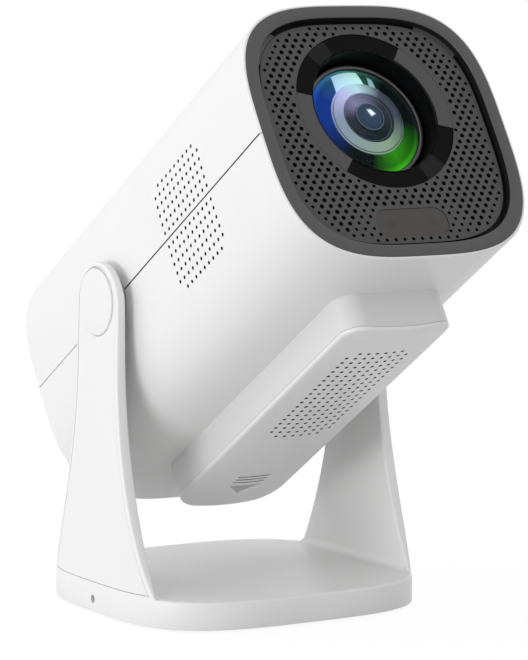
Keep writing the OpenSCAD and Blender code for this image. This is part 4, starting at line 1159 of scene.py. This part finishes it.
def plan_outline(inset):
    """Rounded plan of the housing, y pointing backwards, starting at the front right corner."""
    w = HOUSE_HW - inset
    y0, y1 = -HOUSE_FRONT + inset, -HOUSE_FRONT + HOUSE_LEN - inset
    rf, rr = 9.0 - inset, 11.0 - inset
    pts = arc(w - rf, y0 + rf, rf, -90, 0)
    pts += between((w, y0 + rf), (w, y1 - rr), 30)
    pts += arc(w - rr, y1 - rr, rr, 0, 90)
    pts += between((w - rr, y1), (rr - w, y1), 12)
    pts += arc(rr - w, y1 - rr, rr, 90, 180)
    pts += between((-w, y1 - rr), (-w, y0 + rf), 30)
    pts += arc(rf - w, y0 + rf, rf, 180, 270)
    return pts + between((rf - w, y0), (w - rf, y0), 12)


def crown_z(x, depth=0.0):
    """Height of the housing's crowned lower face, or of a face so far above it."""
    r = CROWN_R - depth
    return -HALF - DROP + CROWN_R - math.sqrt(r * r - x * x)


def grid_fill(outline, z_of):
    """Rings that shrink towards the plan's long middle line, then meet on it."""
    mid_y = -HOUSE_FRONT + HOUSE_LEN / 2
    rings = []
    for s in (0.96, 0.9, *(0.82 - 0.09 * k for k in range(9)), 0.03):
        along = 1 - (1 - s) * HOUSE_HW / (HOUSE_LEN / 2)
        rings.append([(x * s, mid_y + (y - mid_y) * along, z_of(x * s)) for x, y in outline])
    return rings


def housing_solid():
    """Wall of the housing from inside the body down to the cover, with the ledge the cover's rails run on."""
    wall, ledge, ledge_up, ledge_top = 2.0, 4.2, 1.62, 3.0

    def ring(inset, z_of):
        return [(x, y, z_of(x)) for x, y in plan_outline(inset)]

    def low(t):
        return lambda x: crown_z(x, t)

    def high(x):
        return -HALF + 1.8

    return loft([ring(0.0, high), ring(0.0, low(ledge_up + 0.1)), ring(0.1, low(ledge_up)),
                 ring(ledge, low(ledge_up)), ring(ledge, low(ledge_top)), ring(wall, low(ledge_top)),
                 ring(wall, high)], close_profile=True)


def cover_solid():
    """Crowned plate with a rounded lower edge and a small chamfer at its upper one."""
    r, side_up, top_up, chamfer = 1.15, 1.5, 1.55, 0.06
    rings = grid_fill(plan_outline(r), crown_z)[::-1]
    for a in quarter(5):
        d, t = r - r * math.sin(a), r - r * math.cos(a)
        rings.append([(x, y, crown_z(x) + t) for x, y in plan_outline(d)])
    rings.append([(x, y, crown_z(x) + side_up) for x, y in plan_outline(0.0)])
    rings.append([(x, y, crown_z(x) + top_up) for x, y in plan_outline(chamfer)])
    rings += grid_fill(plan_outline(chamfer), lambda x: crown_z(x) + top_up)
    verts, faces = loft(rings)
    n = len(rings[0])
    faces.append(list(range(n)))
    faces.append([len(verts) - n + i for i in range(n)][::-1])
    return verts, faces


def rod_z(x, y, r, z0, z1, count=20):
    """Closed cylinder along the head's z."""
    ring = circle(r, count)
    middle = [[(x + p, y + q, z) for p, q in ring] for z in (z0, z1)]
    return loft([[(x, y, z0)], *middle, [(x, y, z1)]])


def cover_holes():
    """Twenty rows of eight holes, without the four corner ones."""
    mid = HOUSE_FRONT - HOLES_BACK
    parts = []
    for r in range(20):
        for c in range(8):
            if not (c in (0, 7) and r in (0, 19)):
                x, a = (c - 3.5) * VENT_PITCH, mid + (r - 9.5) * VENT_PITCH
                parts.append(rod_z(x, -a, VENT_R, -80.0, -60.0))
    return join(*parts)


def prism_z(outline, z0, z1):
    """Closed upright prism over a convex outline."""
    n = len(outline)
    verts = [(x, y, z0) for x, y in outline] + [(x, y, z1) for x, y in outline]
    faces = [[i, (i + 1) % n, n + (i + 1) % n, n + i] for i in range(n)]
    faces += [list(range(n))[::-1], [n + i for i in range(n)]]
    return verts, faces


def arrow_cuts():
    """Three bars and a triangle pressed into the cover, pointing to the rear."""
    bar_hw, bar_ht, bar_y, bar_step = 7.3, 0.34, 24.5, 2.7
    tip_hw, tip_y0, tip_y1 = 7.6, 32.9, 40.9
    parts = []
    for k in range(3):
        y0, y1 = bar_y + bar_step * k - bar_ht, bar_y + bar_step * k + bar_ht
        parts.append(prism_z([(-bar_hw, y0), (bar_hw, y0), (bar_hw, y1), (-bar_hw, y1)], -80.0, -70.5))
    parts.append(prism_z([(-tip_hw, tip_y0), (tip_hw, tip_y0), (0.0, tip_y1)], -80.0, -70.62))
    return join(*parts)


def cover_side(x, a, z, normal):
    """Slot 1, painted shade, for the walls of the holes and the inner face; slot 2, painted shade, for the
    pressed bars and the arrow's walls; slot 3 for the arrow's grey floor.
    """
    depth = z - crown_z(x)
    mid = HOUSE_FRONT - HOLES_BACK
    if depth > 1.4 or (abs(x) < 15.5 and abs(a - mid) < 39.0 and depth > 0.1):
        return 1
    if not (-42.0 < a < -23.5 and abs(x) < 9.0 and depth > 0.06):
        return 0
    return 2 if a > -31.5 or abs(normal[2]) < 0.5 else 3


build("housing_wall", *housing_solid(), HEAD, housing_painted_shade, "head", "shell_white", ["bottom_housing"])
cover = build("sliding_cover", *cover_solid(), HEAD, [white, inside_painted_shade, arrow_bars_painted_shade, arrow_grey], "cover",
              "shell_white", ["filter_cover"])
cut(cover, cover_holes(), HEAD)
cut(cover, arrow_cuts(), HEAD)
paint(cover, HEAD, cover_side)
soften(cover)


# Finishes of the carried-over nodes

FINISH = {
    "pivot_bushes": acetal, "base_plate": dark_plastic, "base_ballast": cast, "base_pad": rubber,
    "base_screws": steel, "ballast_grub_screws": steel_dark, "pivot_hubs": alu, "pivot_screws": steel,
    "friction_washers": fibre, "front_grille": grille_mat, "lens_collar": grille_mat,
    "lens_hood": hood_black, "af_window": window_mat, "af_sensor_board": board, "rear_panel": rear_grey,
    "rear_screws": steel, "hdmi_socket": steel, "usb_socket": steel, "audio_jack": black_soft,
    "dc_inlet": black_soft, "ir_window": window_mat, "power_button": graphite,
    "button_switch": black_matt, "main_board": board, "driver_board": board, "light_engine": black_matt,
    "led_board": led_white, "led_heatsink": heatsink, "led_fan_frame": black_matt,
    "led_fan_impeller": dark_plastic, "condenser_lens": optic, "heat_filter": optic,
    "fresnel_rear": optic, "lcd_panel": panel_glass, "fresnel_front": optic, "focus_housing": black_matt,
    "focus_ring": acetal, "focus_motor": steel, "focus_pinion": acetal, "lens_barrel": black_matt,
    "rear_lens": optic, "speaker_left": black_matt, "speaker_right": black_matt,
    "intake_fan_frame": black_matt, "intake_fan_impeller": dark_plastic, "dust_filter": foam,
}
for node, mat in FINISH.items():
    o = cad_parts[node]
    o.data.materials.clear()
    o.data.materials.append(mat)
    o.data.polygons.foreach_set("material_index", [0] * len(o.data.polygons))


def grille_side(x, a, z, normal):
    """Slot 1, black, paints shade on the walls of the holes and the back of the grille."""
    return 0 if -normal[1] > 0.5 else 1


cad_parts["front_grille"].data.materials.append(grille_hole_painted_shade)
paint(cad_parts["front_grille"], HEAD, grille_side)
